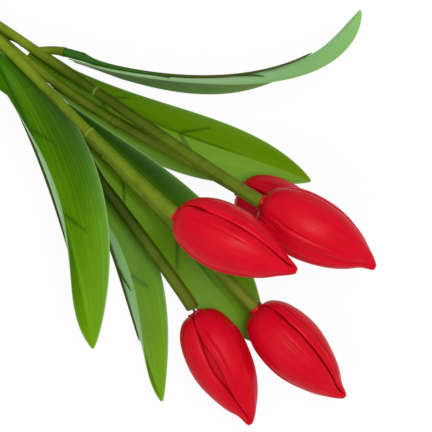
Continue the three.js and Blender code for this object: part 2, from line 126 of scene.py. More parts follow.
def square_frame(direction: Array, reference: Array = np.array([0.0, 0.0, 1.0])) -> tuple[Array, Array]:
    """Side and up, square to a direction, with up as near to the reference as it can be.

    Args:
        direction: unit vectors.
        reference: the vector that up leans towards.

    Returns:
        side = reference × direction, made a unit vector, and up = direction × side.
    """
    side = unit(np.cross(np.broadcast_to(reference, direction.shape), direction))
    return side, np.cross(direction, side)


def closed(grid: Array) -> Array:
    """Repeats a grid's first column after its last."""
    return np.concatenate([grid, grid[:, :1]], axis=1)


@dataclass
class Surface:
    """A grid of points whose columns close into rings, with flat ends and what its mesh carries."""

    points: Array  # rows × columns × 3, in millimetres
    uv: Optional[Array] = None  # rows × columns + 1 × 2, in metres
    marks: dict[str, Array] = field(default_factory=dict)  # one value a point

    def quads(self, values: Array) -> Array:
        """Takes values at the four corners of each face of the side and of the two ends.

        Args:
            values: a value for each point, with the first column repeated after the last.

        Returns:
            Values at (r, c), (r, c+1), (r+1, c+1), (r+1, c) for the sides, then those of the ends. An end is
            a strip between the first half of its ring and the second half taken backwards.
        """
        side = np.stack([values[:-1, :-1], values[:-1, 1:], values[1:, 1:], values[1:, :-1]], axis=2)
        columns = self.points.shape[1]
        low = np.arange(columns // 2 - 1)
        high = columns - 1 - low
        strip = np.stack([low, low + 1, high - 1, high], axis=-1)
        side = side.reshape(-1, 4, *values.shape[2:])
        return np.concatenate([side, values[0][strip[:, ::-1]], values[-1][strip]])

    def faces(self, start: int) -> Array:
        """Gives each face's four point numbers, counted on from start."""
        rows, columns = self.points.shape[:2]
        return self.quads(closed(start + np.arange(rows * columns).reshape(rows, columns)))


def moulded(points: Array, tint: float = 0.0) -> Surface:
    """Gives a grid of points the marks that moulded plastic reads: an even tint, no painted highlight and no
    shade.
    """
    empty = np.zeros(points.shape[:2])
    return Surface(points, marks={"tint": empty + tint, "rim": empty, "shade": empty})


def smooth(mesh: bpy.types.Mesh, sharp: float) -> None:
    """Smooths a mesh, apart from edges past an angle in degrees."""
    mesh.shade_smooth()
    mesh.set_sharp_from_angle(angle=np.radians(sharp))


def make_mesh(name: str, surfaces: list[Surface], sharp: float = SHARP) -> Piece:
    """Makes one object of closed surfaces.

    Args:
        name: the object's name.
        surfaces: its closed surfaces, which all carry the same marks.
        sharp: angle in degrees past which an edge isn't smoothed.

    Returns:
        The object, at the origin, with its place in its mesh.
    """
    counts = np.cumsum([0] + [s.points.shape[0] * s.points.shape[1] for s in surfaces])
    points = np.concatenate([s.points.reshape(-1, 3) for s in surfaces])
    faces = np.concatenate([s.faces(start) for s, start in zip(surfaces, counts)])
    mesh = bpy.data.meshes.new(name)
    mesh.from_pydata(((points + ORIGIN) * MM).tolist(), [], faces.tolist())
    if surfaces[0].uv is not None:
        corners = np.concatenate([s.quads(s.uv) for s in surfaces])
        mesh.uv_layers.new(name="UVMap").uv.foreach_set("vector", corners.astype(np.float32).ravel())
    for key in surfaces[0].marks:
        values = np.concatenate([s.marks[key].ravel() for s in surfaces])
        mesh.attributes.new(key, "FLOAT", "POINT").data.foreach_set("value", values.astype(np.float32))
    smooth(mesh, sharp)
    piece = bpy.data.objects.new(name, mesh)
    bpy.context.scene.collection.objects.link(piece)
    return piece


def unite(body: Piece, parts: Piece) -> None:
    """Joins parts to a body as one skin, with no faces left inside.

    Args:
        body: the object that is kept and gets a new mesh.
        parts: closed shells that run into it; this object is removed.
    """
    joint = body.modifiers.new("union", "BOOLEAN")
    joint.operation = "UNION"
    joint.solver = "EXACT"
    joint.use_self = True
    joint.object = parts
    bpy.context.view_layer.update()
    ready = body.evaluated_get(bpy.context.evaluated_depsgraph_get())
    mesh = bpy.data.meshes.new_from_object(ready)
    body.modifiers.remove(joint)
    old = body.data
    body.data = mesh
    mesh.name = body.name
    bpy.data.objects.remove(parts)
    bpy.data.meshes.remove(old)
    smooth(mesh, SHARP)


def points_of(piece: Piece) -> Array:
    """Reads the places of a piece's points.

    Args:
        piece: the object, at the origin.

    Returns:
        Points × 3 in the bouquet's frame, in millimetres.
    """
    flat = np.empty(3 * len(piece.data.vertices), np.float32)
    piece.data.vertices.foreach_get("co", flat)
    return flat.reshape(-1, 3) / MM - ORIGIN


def mark(piece: Piece, key: str, values: Array) -> None:
    """Writes a mark anew after a union, which leaves the marks of the joined points in disorder.

    Args:
        piece: the joined object.
        key: the mark's name.
        values: one value a point.
    """
    piece.data.attributes[key].data.foreach_set("value", values.astype(np.float32))


def tube(centres: Array, side: Array, up: Array, reach: Array, columns: int) -> Array:
    """Rings round a line.

    Args:
        centres: rows × 3 points of the line.
        side: rows × 3 first axis of each ring's plane.
        up: rows × 3 second axis.
        reach: radii, one a row or one a point.
        columns: points in a ring.

    Returns:
        centre + reach·(side·cos θ + up·sin θ), θ going round once.
    """
    angle = np.linspace(0, 2 * np.pi, columns, endpoint=False)[:, None]
    reach = np.broadcast_to(reach if reach.ndim == 2 else reach[:, None], (len(centres), columns))
    around = side[:, None] * np.cos(angle) + up[:, None] * np.sin(angle)
    return centres[:, None] + reach[..., None] * around


def place(piece: Piece, material: Material, body: str, node: str) -> None:
    """Dresses a piece and ties it to the frame.

    Args:
        piece: the new object.
        material: its finish.
        body: the CAD body that it rides on.
        node: the CAD node that it stands for.
    """
    piece.data.materials.clear()
    piece.data.materials.append(material)
    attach(piece, body)
    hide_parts(node)
    log.info("%s rides on %s with %d faces", piece.name, body, len(piece.data.polygons))


def start_material(name: str) -> tuple[Material, Tree]:
    """Makes a material with an empty node tree.

    Args:
        name: the material's name.

    Returns:
        The material and its tree.
    """
    material = bpy.data.materials.new(name)
    material.use_nodes = True
    material.node_tree.nodes.clear()
    return material, material.node_tree


def drawn_out(across_mm: float, along_mm: float) -> tuple[float, float]:
    """Gives the scales, across and along, of a noise whose marks have these sizes."""
    return 1 / (across_mm * MM), 1 / (along_mm * MM)


@dataclass(frozen=True)
class Skin:
    """How a moulded or coated surface shines, and how deep its lines and its grain are."""

    rough: tuple[float, float]  # roughness where the noise of the lines is low and where it is high
    grain: float  # height of the grain as a share of the lines'
    bump: float
    depth_mm: float
    ior: float
    gloss: float

    def close(self, tree: Tree, colour: Socket, line: Socket, grain: Socket) -> None:
        """Adds the shader and the output.

        Args:
            tree: the material's node tree.
            colour: its colour.
            line: noise of its lengthwise lines.
            grain: noise of its fine grain.
        """
        rough = add_node(tree, "MapRange", (line, *NOISE_BAND, *self.rough))
        heights = add_node(tree, "Math", (grain, self.grain, line), operation="MULTIPLY_ADD")
        bump = add_node(tree, "Bump", {
            "Strength": self.bump, "Distance": self.depth_mm * MM, "Height": heights,
        })
        shader = add_node(tree, "BsdfPrincipled", {
            "Base Color": colour, "Roughness": rough, "Normal": bump,
            "IOR": self.ior, "Specular IOR Level": self.gloss,
        })
        add_node(tree, "OutputMaterial", {"Surface": shader})


@dataclass(frozen=True)
class CoatedFoam:
    """Latex-coated foam, cast in a petal mould: soft satin, saturated, with fine lengthwise streaks.

    The coat scatters a broad, slightly pink highlight; the streaks of the mould break it up.
    """

    name: str
    colour: str
    pale: str
    deep: str
    skin: Skin = Skin(rough=(0.42, 0.30), grain=0.3, bump=0.12, depth_mm=0.15, ior=1.45, gloss=0.1)
    streak_mm: float = 1.1  # real streaks are about half as wide; drawn coarser so that they show
    streak_length_mm: float = 26
    streak_range: tuple[float, ...] = (0.36, 0.70, 0.0, 0.22)  # of the noise, and of the pale colour's share
    cloud_mm: float = 9
    cloud_range: tuple[float, ...] = (0.4, 0.8, 0.0, 0.4)
    grain_mm: float = 0.7

    def material(self) -> Material:
        """Builds the node material.

        Returns:
            The material, which reads the UV map and the mark fold, painted shade that deepens the colour.
        """
        made, tree = start_material(self.name)
        uv = add_node(tree, "UVMap", uv_map="UVMap")
        spot = add_node(tree, "TexCoord", out="Object")
        lengthwise = add_node(tree, "Mapping", {
            "Vector": uv, "Scale": (*drawn_out(self.streak_mm, self.streak_length_mm), 1),
        })
        streak = add_node(tree, "TexNoise", {
            "Vector": lengthwise, "Scale": 1.0, "Detail": 3.0, "Roughness": 0.6,
        }, noise_dimensions="2D")
        cloud, grain = (
            add_node(tree, "TexNoise", {"Vector": spot, "Scale": 1 / (size * MM), "Detail": 2.0})
            for size in (self.cloud_mm, self.grain_mm)
        )
        colour = linear(self.colour)
        for share, layer in (
            (add_node(tree, "MapRange", (streak, *self.streak_range)), self.pale),
            (add_node(tree, "MapRange", (cloud, *self.cloud_range)), self.deep),
            # the mark fold: painted shade in grooves, valleys and on the inner petals, and a deeper colour at
            # the base
            (add_node(tree, "Attribute", out="Fac", attribute_name="fold"), self.deep),
        ):
            colour = add_node(tree, "Mix", {0: share, 6: colour, 7: linear(layer)}, 2, data_type="RGBA")
        self.skin.close(tree, colour, streak, grain)
        return made


@dataclass(frozen=True)
class CoatedCloth:
    """Polyester leaf cloth, printed, coated and pressed: satin, with parallel veins and a pale cut margin.

    The coat gives long soft highlights along the veins; the underside is paler and bluish, and the dark
    spine under the blade shows through as soft strokes of painted shadow.
    """

    name: str
    foot: str
    middle: str
    tip: str
    vein: str
    underside: str
    under_vein: str
    margin: str
    painted_shadow: str
    skin: Skin = Skin(rough=(0.27, 0.39), grain=0.12, bump=0.3, depth_mm=0.2, ior=1.48, gloss=0.07)
    vein_mm: float = 0.8
    vein_length_mm: float = 90
    vein_range: tuple[float, ...] = (0.5, 0.72, 0.0, 0.4)  # of the noise, and of the veins' share
    cloud_mm: float = 22
    cloud_wander: float = 0.5  # how far the clouds move the change from foot to tip
    middle_range: tuple[float, ...] = (0.3, 0.8, 0.0, 1.0)
    tip_range: tuple[float, ...] = (0.75, 1.3, 0.0, 1.0)
    cut_range: tuple[float, ...] = (0.7 * MM, 0.1 * MM, 0.0, 0.5)  # of the distance from the margin
    weave_mm: float = 0.6  # threads are about 0.2 mm; drawn coarser so that they show

    def material(self) -> Material:
        """Builds the node material.

        Returns:
            The material, which reads the UV map and the marks along, under, edge and painted_shadow.
        """
        made, tree = start_material(self.name)
        uv = add_node(tree, "UVMap", uv_map="UVMap")
        spot = add_node(tree, "TexCoord", out="Object")
        along, under, edge, painted_shadow = (
            add_node(tree, "Attribute", out="Fac", attribute_name=key)
            for key in ("along", "under", "edge", "painted_shadow")
        )
        lengthwise = add_node(tree, "Mapping", {
            "Vector": uv, "Scale": (*drawn_out(self.vein_mm, self.vein_length_mm), 1),
        })
        vein = add_node(tree, "TexNoise", {
            "Vector": lengthwise, "Scale": 1.0, "Detail": 4.0, "Roughness": 0.65,
        }, noise_dimensions="2D")
        cloud, weave = (
            add_node(tree, "TexNoise", {"Vector": spot, "Scale": 1 / (size * MM), "Detail": detail})
            for size, detail in ((self.cloud_mm, 2.0), (self.weave_mm, 1.0))
        )
        wander = add_node(tree, "Math", (cloud, self.cloud_wander, along), operation="MULTIPLY_ADD")
        lines = add_node(tree, "MapRange", (vein, *self.vein_range))
        upper = linear(self.foot)
        for share, layer in (
            (add_node(tree, "MapRange", (wander, *self.middle_range)), self.middle),
            (add_node(tree, "MapRange", (wander, *self.tip_range)), self.tip),
            (lines, self.vein),
            # painted shadow of the spine through the cloth, and painted shade at the foot of some halves
            (painted_shadow, self.painted_shadow),
        ):
            upper = add_node(tree, "Mix", {0: share, 6: upper, 7: linear(layer)}, 2, data_type="RGBA")
        lower = add_node(tree, "Mix", {
            0: lines, 6: linear(self.underside), 7: linear(self.under_vein),
        }, 2, data_type="RGBA")
        cut = add_node(tree, "MapRange", (edge, *self.cut_range))
        colour = add_node(tree, "Mix", {0: under, 6: upper, 7: lower}, 2, data_type="RGBA")
        colour = add_node(tree, "Mix", {0: cut, 6: colour, 7: linear(self.margin)}, 2, data_type="RGBA")
        self.skin.close(tree, colour, vein, weave)
        return made


@dataclass(frozen=True)
class MouldedPlastic:
    """Polyethylene, moulded over wire: a waxy satin that takes a soft, low highlight.

    Flow marks run lengthwise, and patches of a second tint lie over them.
    """

    name: str
    colour: str
    pale: str
    deep: str
    tint: str
    skin: Skin = Skin(rough=(0.42, 0.54), grain=0.3, bump=0.3, depth_mm=0.2, ior=1.5, gloss=0.06)
    flow_mm: float = 0.9
    flow_length_mm: float = 24
    flow_range: tuple[float, ...] = (0.35, 0.7, 0.0, 0.6)  # of the noise, and of the pale colour's share
    patch_mm: float = 14
    patch_range: tuple[float, ...] = (0.45, 0.8, 0.0, 0.6)
    tint_gain: float = 1.6
    grain_mm: float = 0.5

    def material(self) -> Material:
        """Builds the node material; stems run mainly along X, so the flow marks are long in X.

        Returns:
            The material, which reads the marks tint, rim and shade; the shade is partly painted shade.
        """
        made, tree = start_material(self.name)
        spot = add_node(tree, "TexCoord", out="Object")
        across, along = drawn_out(self.flow_mm, self.flow_length_mm)
        lengthwise = add_node(tree, "Mapping", {"Vector": spot, "Scale": (along, across, across)})
        flow = add_node(tree, "TexNoise", {"Vector": lengthwise, "Scale": 1.0, "Detail": 3.0})
        patch, grain = (
            add_node(tree, "TexNoise", {"Vector": spot, "Scale": 1 / (size * MM), "Detail": detail})
            for size, detail in ((self.patch_mm, 2.0), (self.grain_mm, 1.0))
        )
        tint, rim, shade = (
            add_node(tree, "Attribute", out="Fac", attribute_name=key) for key in ("tint", "rim", "shade")
        )
        tinted = add_node(tree, "Math", (tint, patch), operation="MULTIPLY")
        tinted = add_node(tree, "Math", (tinted, self.tint_gain), operation="MULTIPLY", use_clamp=True)
        colour = linear(self.colour)
        for share, layer in (
            (add_node(tree, "MapRange", (flow, *self.flow_range)), self.pale),
            (add_node(tree, "MapRange", (patch, *self.patch_range)), self.deep),
            # the mark shade: partly the plastic's darker tone, partly painted shade
            (shade, self.deep),
            (tinted, self.tint),
            # painted highlight along the collar beads
            (rim, self.pale),
        ):
            colour = add_node(tree, "Mix", {0: share, 6: colour, 7: linear(layer)}, 2, data_type="RGBA")
        self.skin.close(tree, colour, flow, grain)
        return made


@dataclass(frozen=True)
class DrawnSteel:
    """Mild steel wire, drawn and annealed: brownish grey metal with scratches along its length."""

    name: str = "drawn_steel_wire"
    colour: str = "#4A3E34"
    dark: str = "#2E2620"
    rough: tuple[float, float] = (0.26, 0.46)
    scratch_mm: float = 0.25
    scratch_length_mm: float = 8
    bump: float = 0.2
    depth_mm: float = 0.05

    def material(self) -> Material:
        """Builds the node material.

        Returns:
            The material, which reads no marks.
        """
        made, tree = start_material(self.name)
        spot = add_node(tree, "TexCoord", out="Object")
        across, along = drawn_out(self.scratch_mm, self.scratch_length_mm)
        lengthwise = add_node(tree, "Mapping", {"Vector": spot, "Scale": (along, across, across)})
        scratch = add_node(tree, "TexNoise", {"Vector": lengthwise, "Scale": 1.0, "Detail": 2.0})
        colour = add_node(tree, "Mix", {
            0: scratch, 6: linear(self.colour), 7: linear(self.dark),
        }, 2, data_type="RGBA")
        rough = add_node(tree, "MapRange", (scratch, *NOISE_BAND, *self.rough))
        bump = add_node(tree, "Bump", {
            "Strength": self.bump, "Distance": self.depth_mm * MM, "Height": scratch,
        })
        shader = add_node(tree, "BsdfPrincipled", {
            "Base Color": colour, "Roughness": rough, "Normal": bump, "Metallic": 1.0,
        })
        add_node(tree, "OutputMaterial", {"Surface": shader})
        return made


class Whorl(Enum):
    """The two rings of petals in a head."""

    OUTER = "outer_petal"
    INNER = "inner_petal"


@dataclass
class WirePath:
    """The line of a stem's wire: along the trunk, in one cubic curve to the head, straight into the head."""

    crown: Array
    foot: Array
    axis: Array
    leave: Array
    ease: tuple[float, float]
    gap: float
    trunk_length: float = 120
    insert: float = 14
    hub_drop: float = 0.6
    samples: int = 1200

    def __post_init__(self) -> None:
        """Samples the line: B(t) is the cubic through crown and top with the two tangents."""
        top = self.foot - self.axis * (self.gap + self.hub_drop)
        knots = np.stack([
            self.crown, self.crown + self.leave * self.ease[0], top - self.axis * self.ease[1], top,
        ])
        t = np.linspace(0, 1, self.samples)[:, None]
        weights = np.concatenate([(1 - t) ** 3, 3 * t * (1 - t) ** 2, 3 * t * t * (1 - t), t ** 3], axis=1)
        back = self.crown - np.array([self.trunk_length, 0, 0])
        ahead = self.foot + self.axis * self.insert
        self.line = np.concatenate([back[None], weights @ knots, ahead[None]])
        steps = np.linalg.norm(np.diff(self.line, axis=0), axis=1)
        self.distance = np.concatenate([[0], np.cumsum(steps)])
        tangents = np.concatenate([(1 - t) ** 2, 2 * t * (1 - t), t * t], axis=1) @ np.diff(knots, axis=0)
        self.slope = np.concatenate([[[1.0, 0, 0]], unit(tangents), self.axis[None]])
        self.crown_at = self.distance[1]
        self.top_at = self.distance[-2]
        self.length = self.distance[-1]

    def stations(self, distance: Array) -> tuple[Array, Array, Array]:
        """Looks up places along the line.

        Args:
            distance: distances from the cut end.

        Returns:
            Centres, sides and ups, a row for each distance.
        """
        centre, direction = (
            np.stack([np.interp(distance, self.distance, c) for c in known.T], axis=-1)
            for known in (self.line, self.slope)
        )
        return (centre, *square_frame(unit(direction)))

    def bar(self, distance: Array, reach: Array, columns: int) -> Array:
        """Rings of a bar along the line."""
        return tube(*self.stations(distance), reach, columns)


@dataclass
class BushFrame:
    """The moulded frame: a trunk that divides into five branches, each with a spigot and a peg for a leaf."""

    trunk_length: float = 120
    trunk_radius: float = 5.59221
    crown_swell: float = 0.9
    crown_nose: float = 10
    chamfer: float = 0.8
    wire_proud: float = 0.4  # the wires' cut ends stand this far out of the trunk's end
    branch_radius: float = 2.5
    branch_bevel: float = 0.3
    branch_root: float = 2  # length by which a branch starts inside the crown
    spigot_radius: float = 1.6
    spigot_length: float = 8
    peg_radius: float = 2.6
    peg_waist: float = 0.4
    peg_lead: float = 8.4  # of the curve by which a peg leaves its branch
    pin_radius: float = 1.2
    pin_length: float = 9
    shade_reach: tuple[float, float] = (50, 12)  # before the collar, between which a branch darkens

    @property
    def height(self) -> float:
        """Height of the trunk's middle over the table."""
        return self.trunk_radius + self.crown_swell

    def trunk(self) -> Surface:
        """A turned bar along X: its radius swells by a smoothstep and rounds off as 1 − t²/2 in front.

        Returns:
            The bar, from just inside the wires' cut ends to the crown's nose.
        """
        start = -self.trunk_length + self.wire_proud
        bend = 0.3 * self.crown_nose
        x = np.concatenate([
            [start, start + 0.35 * self.chamfer, start + self.chamfer],
            np.linspace(start + 3, bend, 90), np.linspace(bend, self.crown_nose, 14)[1:],
        ])
        swell = smoothstep(-0.3 * self.trunk_length, -0.5 * self.crown_nose, x)
        nose = np.clip((x - bend) / (self.crown_nose - bend), 0, 1)
        reach = (self.trunk_radius + self.crown_swell * swell) * (1 - 0.5 * nose ** 2)
        reach[:2] -= self.chamfer * np.array([1.0, 0.3])
        centre = np.stack([x, np.zeros_like(x), np.full_like(x, self.height)], axis=-1)
        side, up = square_frame(np.tile([1.0, 0, 0], (len(x), 1)))
        return moulded(tube(centre, side, up, reach, 40))

    def shades(self, spots: Array, stems: list["Stem"]) -> Array:
        """Darkens each branch towards its collar, by a smoothstep: the stem's shade, which is partly painted
        shade.

        Args:
            spots: places on the frame.
            stems: the five stems, for their lines and shades.

        Returns:
            The shade of the nearest branch at each place.
        """
        away, dark = [], []
        for stem in stems:
            along = np.linspace(0, stem.collar, 160)
            line = stem.wire.stations(stem.wire.crown_at + along)[0]
            gaps = np.linalg.norm(spots[:, None] - line, axis=-1)
            away.append(gaps.min(axis=1))
            low, high = (stem.collar - before for before in self.shade_reach)
            dark.append(stem.shade * smoothstep(low, high, along[gaps.argmin(axis=1)]))
        return np.array(dark)[np.argmin(away, axis=0), np.arange(len(spots))]

    def branch(self, wire: WirePath, collar: float) -> Surface:
        """A bar of one radius from inside the crown to a square shoulder, then a thinner spigot.

        Args:
            wire: the branch's line.
            collar: distance of the shoulder from the crown.

        Returns:
            The bar, with a ring at each station of the wire.
        """
        shoulder = wire.crown_at + collar
        limb = np.linspace(wire.crown_at - self.branch_root, shoulder, 90)
        distance = np.concatenate([limb, [shoulder, shoulder, shoulder + self.spigot_length]])
        distance[-5] -= 0.2
        reach = np.full(len(distance), self.branch_radius)
        reach[-4:-2] -= self.branch_bevel * np.array([5 / 6, 1])
        reach[-2:] = self.spigot_radius
        return moulded(wire.bar(distance, reach, 28))

    def peg(self, wire: WirePath, at: float, mouth: Array, axis: Array) -> Surface:
        """A neck along a quadratic curve out of the branch, a flat shoulder and a pin.

        Args:
            wire: the branch's line.
            at: distance along it from the crown.
            mouth: mouth of the leaf's socket.
            axis: direction of the pin.

        Returns:
            The neck, whose radius is that of the peg less waist·sin(π·t), and the pin.
        """
        root = wire.stations(np.array([wire.crown_at + at]))[0][0]
        seat = mouth - axis * FIT_GAP
        knots = np.stack([root, seat - axis * self.peg_lead, seat])
        t = np.linspace(0, 1, 24)[:, None]
        neck = np.concatenate([(1 - t) ** 2, 2 * t * (1 - t), t * t], axis=1) @ knots
        slope = unit(np.concatenate([1 - t, t], axis=1) @ np.diff(knots, axis=0))
        centre = np.concatenate([neck, seat[None], seat[None] + axis * self.pin_length])
        direction = np.concatenate([slope, axis[None], axis[None]])
        waist = self.peg_radius - self.peg_waist * np.sin(np.pi * t[:, 0])
        reach = np.concatenate([waist, [self.pin_radius, self.pin_radius]])
        return moulded(tube(centre, *square_frame(direction), reach, 20))

    def build(self, stems: list["Stem"], finish: Material) -> None:
        """Joins trunk, branches and pegs into one skin.

        Args:
            stems: the five stems, for their lines and pegs.
            finish: the frame's plastic.
        """
        limbs = [self.branch(stem.wire, stem.collar) for stem in stems]
        pegs = [self.peg(stem.wire, stem.leaf.at, stem.leaf.mouth, stem.leaf.axis) for stem in stems]
        body = make_mesh("bush", [self.trunk()])
        unite(body, make_mesh("bush_limbs", limbs + pegs))
        mark(body, "shade", self.shades(points_of(body), stems))
        place(body, finish, "bush", "bush_frame")


@dataclass(frozen=True)
class PetalLine:
    """A raised or sunken line along an outer petal, between two shares of its height."""

    across: float  # place from −1 to 1
    width: float
    sway: float  # how much it follows the petal's wander
    start: tuple[float, float]
    end: tuple[float, float]
    height: float  # in millimetres
    dark: float  # painted shade in the line: how far its colour deepens

    def strength(self, a: Array, s: Array, wander: Array) -> Array:
        """exp(−((a − across − sway·wander)/width)²), with a smoothstep at its start and at its end."""
        line = bell(a - self.across - self.sway * wander, self.width)
        return line * smoothstep(*self.start, s) * (1 - smoothstep(*self.end, s))


@dataclass
class TulipHead:
    """A closed head: a core on the wire, three inner petals and three outer petals whose margins overlap."""

    number: int
    turn: float
    gape: float = 0.0  # degrees by which the outer petals draw back from each other at the belly
    lap: float = 4.0  # degrees by which a petal's margin a = 1 lies over the next petal
    hook: tuple[float, float] = (90.0, 1.0)  # bearing from the left and length of the tip's pull aside
    skirt: float = 1.6  # length of the lobes by which the outer petals reach down over the stem's end
    length: float = 65
    radius: float = 17
    base: float = 4.3
    tip: float = 1.3
    belly: float = 0.38
    taper: float = 0.85
    pinch: float = 0.8  # the outline falls in by this much in front of the tip
    pinch_at: tuple[float, float] = (0.9, 0.065)  # share of the height, and its width
    thickness: float = 0.9
    lobe_thickness: float = 0.6  # share of the thickness that a lobe has
    spread: float = 59.5  # half-angle of an outer petal
    base_gap: float = 3  # degrees by which it is narrower at its base
    inner_spread: float = 46
    inner_top: float = 0.86  # share of the height that the inner petals reach
    inner_painted_shade: float = 0.2  # painted shade inside the head: how far their colour is deepened
    sink: float = 2.6  # depth to which the inner petals stand back from the valleys
    base_fold: float = 0.25  # how far the colour deepens at the base
    valley: tuple[float, float] = (2.2, 0.5)  # depth to which a covered and a covering margin fall in
    roll: tuple[float, float] = (0.42, 0.16)  # share of a half petal over which they fall
    # painted shade in the valley under a covered margin
    valley_painted_shade: float = 0.4
    keel: float = 0.6
    pleat: float = 0.16
    swell: float = 0.1
    lowered: float = 0.35  # keeps the relief's high places near the outline
    lines: tuple[PetalLine, ...] = (
        PetalLine(0.7, 0.045, 1, (0.05, 0.16), (0.5, 0.8), -0.5, 0.45),
        PetalLine(0.82, 0.07, 0, (0.05, 0.16), (0.5, 0.8), 0.25, 0.0),
        PetalLine(-0.5, 0.035, -2, (0.12, 0.3), (0.45, 0.68), -0.24, 0.4),
        PetalLine(-0.38, 0.025, -1, (0.25, 0.38), (0.4, 0.55), -0.14, 0.25),
    )  # a groove, the raised strip that it sets off along the margin, and two short creases
    dense: tuple[float, ...] = (-1.0, -0.5, 0.7, 1.0)  # where columns stand closer together
    core_drop: float = 0.6
    core_share: float = 0.55
    core_top: float = 0.68
    core_bore: float = 1.0
    core_bore_depth: float = 14.3
    rows: int = 80
    columns: tuple[int, int] = (109, 41)  # outer and inner

    def __post_init__(self) -> None:
        """Takes the head's place from its joint: X and Y are turned about the axis by the turn."""
        joint = JOINTS[f"head_{self.number}"]
        self.foot = np.array(joint["pos_m"]) / MM - ORIGIN
        self.axis = unit(np.array(joint["axis"]))
        self.side, self.up = square_frame(self.axis)
        turn = np.radians(self.turn)
        self.x = self.side * np.cos(turn) + self.up * np.sin(turn)
        self.y = self.up * np.cos(turn) - self.side * np.sin(turn)

    def outline(self, share: Array) -> Array:
        """The bud's outline: a quarter ellipse up to the belly, then cos to a power, pinched before the tip.

        Args:
            share: shares of the height.

        Returns:
            Radius and height for each share.
        """
        below = np.clip(1 - share / self.belly, 0, 1)
        above = np.clip((share - self.belly) / (1 - self.belly), 0, 1)
        swell = self.base + (self.radius - self.base) * np.sqrt(1 - below ** 2)
        fall = self.tip + (self.radius - self.tip) * np.maximum(np.cos(above * np.pi / 2), 0) ** self.taper
        fall = fall - self.pinch * bell(share - self.pinch_at[0], self.pinch_at[1])
        return np.stack([np.where(share < self.belly, swell, fall), share * self.length], axis=-1)

    def layer(self, share: Array, depth: Array) -> Array:
        """Goes in under the outline, square to it.

        Args:
            share: shares of the height.
            depth: depths under the outline.

        Returns:
            outline + depth·n, as radius and height, with n the inward normal.
        """
        step = 0.001
        along = unit(self.outline(np.minimum(share + step, 1)) - self.outline(share - step))
        return self.outline(share) + np.stack([-along[..., 1], along[..., 0]], axis=-1) * depth[..., None]

    def standing(self, reach: Array, bearing: Array, height: Array) -> Array:
        """Turns radius, bearing and height into points.

        Args:
            reach: distances from the axis.
            bearing: angles about it.
            height: heights along it.

        Returns:
            Points, drawn aside by the hook's distance times the square of a smoothstep near the tip.
        """
        spot = reach[..., None] * (np.cos(bearing)[..., None] * self.x + np.sin(bearing)[..., None] * self.y)
        aside = np.radians(self.hook[0])
        drawn = self.hook[1] * smoothstep(0.84, 1.02, height / self.length) ** 2
        shift = drawn[..., None] * (np.cos(aside) * self.side + np.sin(aside) * self.up)
        return self.foot + spot + shift + height[..., None] * self.axis

    def columns_of(self, outer: bool) -> Array:
        """Places a petal's columns, closer together where its relief is fine.

        Args:
            outer: whether it is an outer petal.

        Returns:
            Places from −1 to 1: the running sum of the density 1 + 4·Σ exp(−((a − c)/0.1)²), over the dense
            places c, read backwards at even steps.
        """
        fine = np.linspace(-1, 1, 4001)
        run = np.cumsum(1 + 4 * sum(bell(fine - line, 0.1) for line in self.dense))
        run = (run - run[0]) / (run[-1] - run[0])
        return np.interp(np.linspace(0, 1, self.columns[0 if outer else 1]), run, fine)

    def relief(self, a: Array, s: Array, phase: Array) -> tuple[Array, Array]:
        """What an outer petal has on top of the bud's outline, in millimetres.

        The margin a = −1 falls in as t² and the margin a = 1 by a quarter ellipse, 1 − √(1 − t²), with t over
        the last share of |a|. To these come the petal's lines, a soft keel along the middle, pleats that
        gather towards the tip and slow swells.

        Args:
            a: place across, −1 to 1.
            s: share of the height.
            phase: four angles that make petals differ.

        Returns:
            The relief, and the painted shade in its grooves and valleys, 0 to 1.
        """
        body = smoothstep(0.02, 0.18, s) * (1 - smoothstep(0.9, 1.0, s))
        covered = np.clip((self.roll[0] - 1 - a) / self.roll[0], 0, 1) ** 2
        covering = 1 - np.sqrt(1 - np.clip((a - 1 + self.roll[1]) / self.roll[1], 0, 1) ** 2)
        wander = 0.02 * np.sin(5 * s + phase[0])
        keel = np.exp(-np.sqrt(a ** 2 + 0.01) / 0.3)
        pleats = np.sin(14 * a + 3 * np.sin(5 * s + phase[1]) + phase[2]) * smoothstep(0.74, 0.92, s)
        swells = np.sin(2.2 * np.pi * a + phase[3]) * np.sin(np.pi * s)
        swells = swells + np.sin(5 * s * np.pi + phase[0] + 2 * a)
        high = self.keel * keel + self.pleat * pleats + self.swell * swells - self.lowered
        high = high - self.valley[0] * covered - self.valley[1] * covering
        # painted shade in the valley under the covered margin, then in the grooves and creases
        deep = self.valley_painted_shade * covered
        for line in self.lines:
            strength = line.strength(a, s, wander)
            high = high + line.height * strength
            deep = deep + line.dark * strength
        return body * high, body * np.clip(deep, 0, 1)

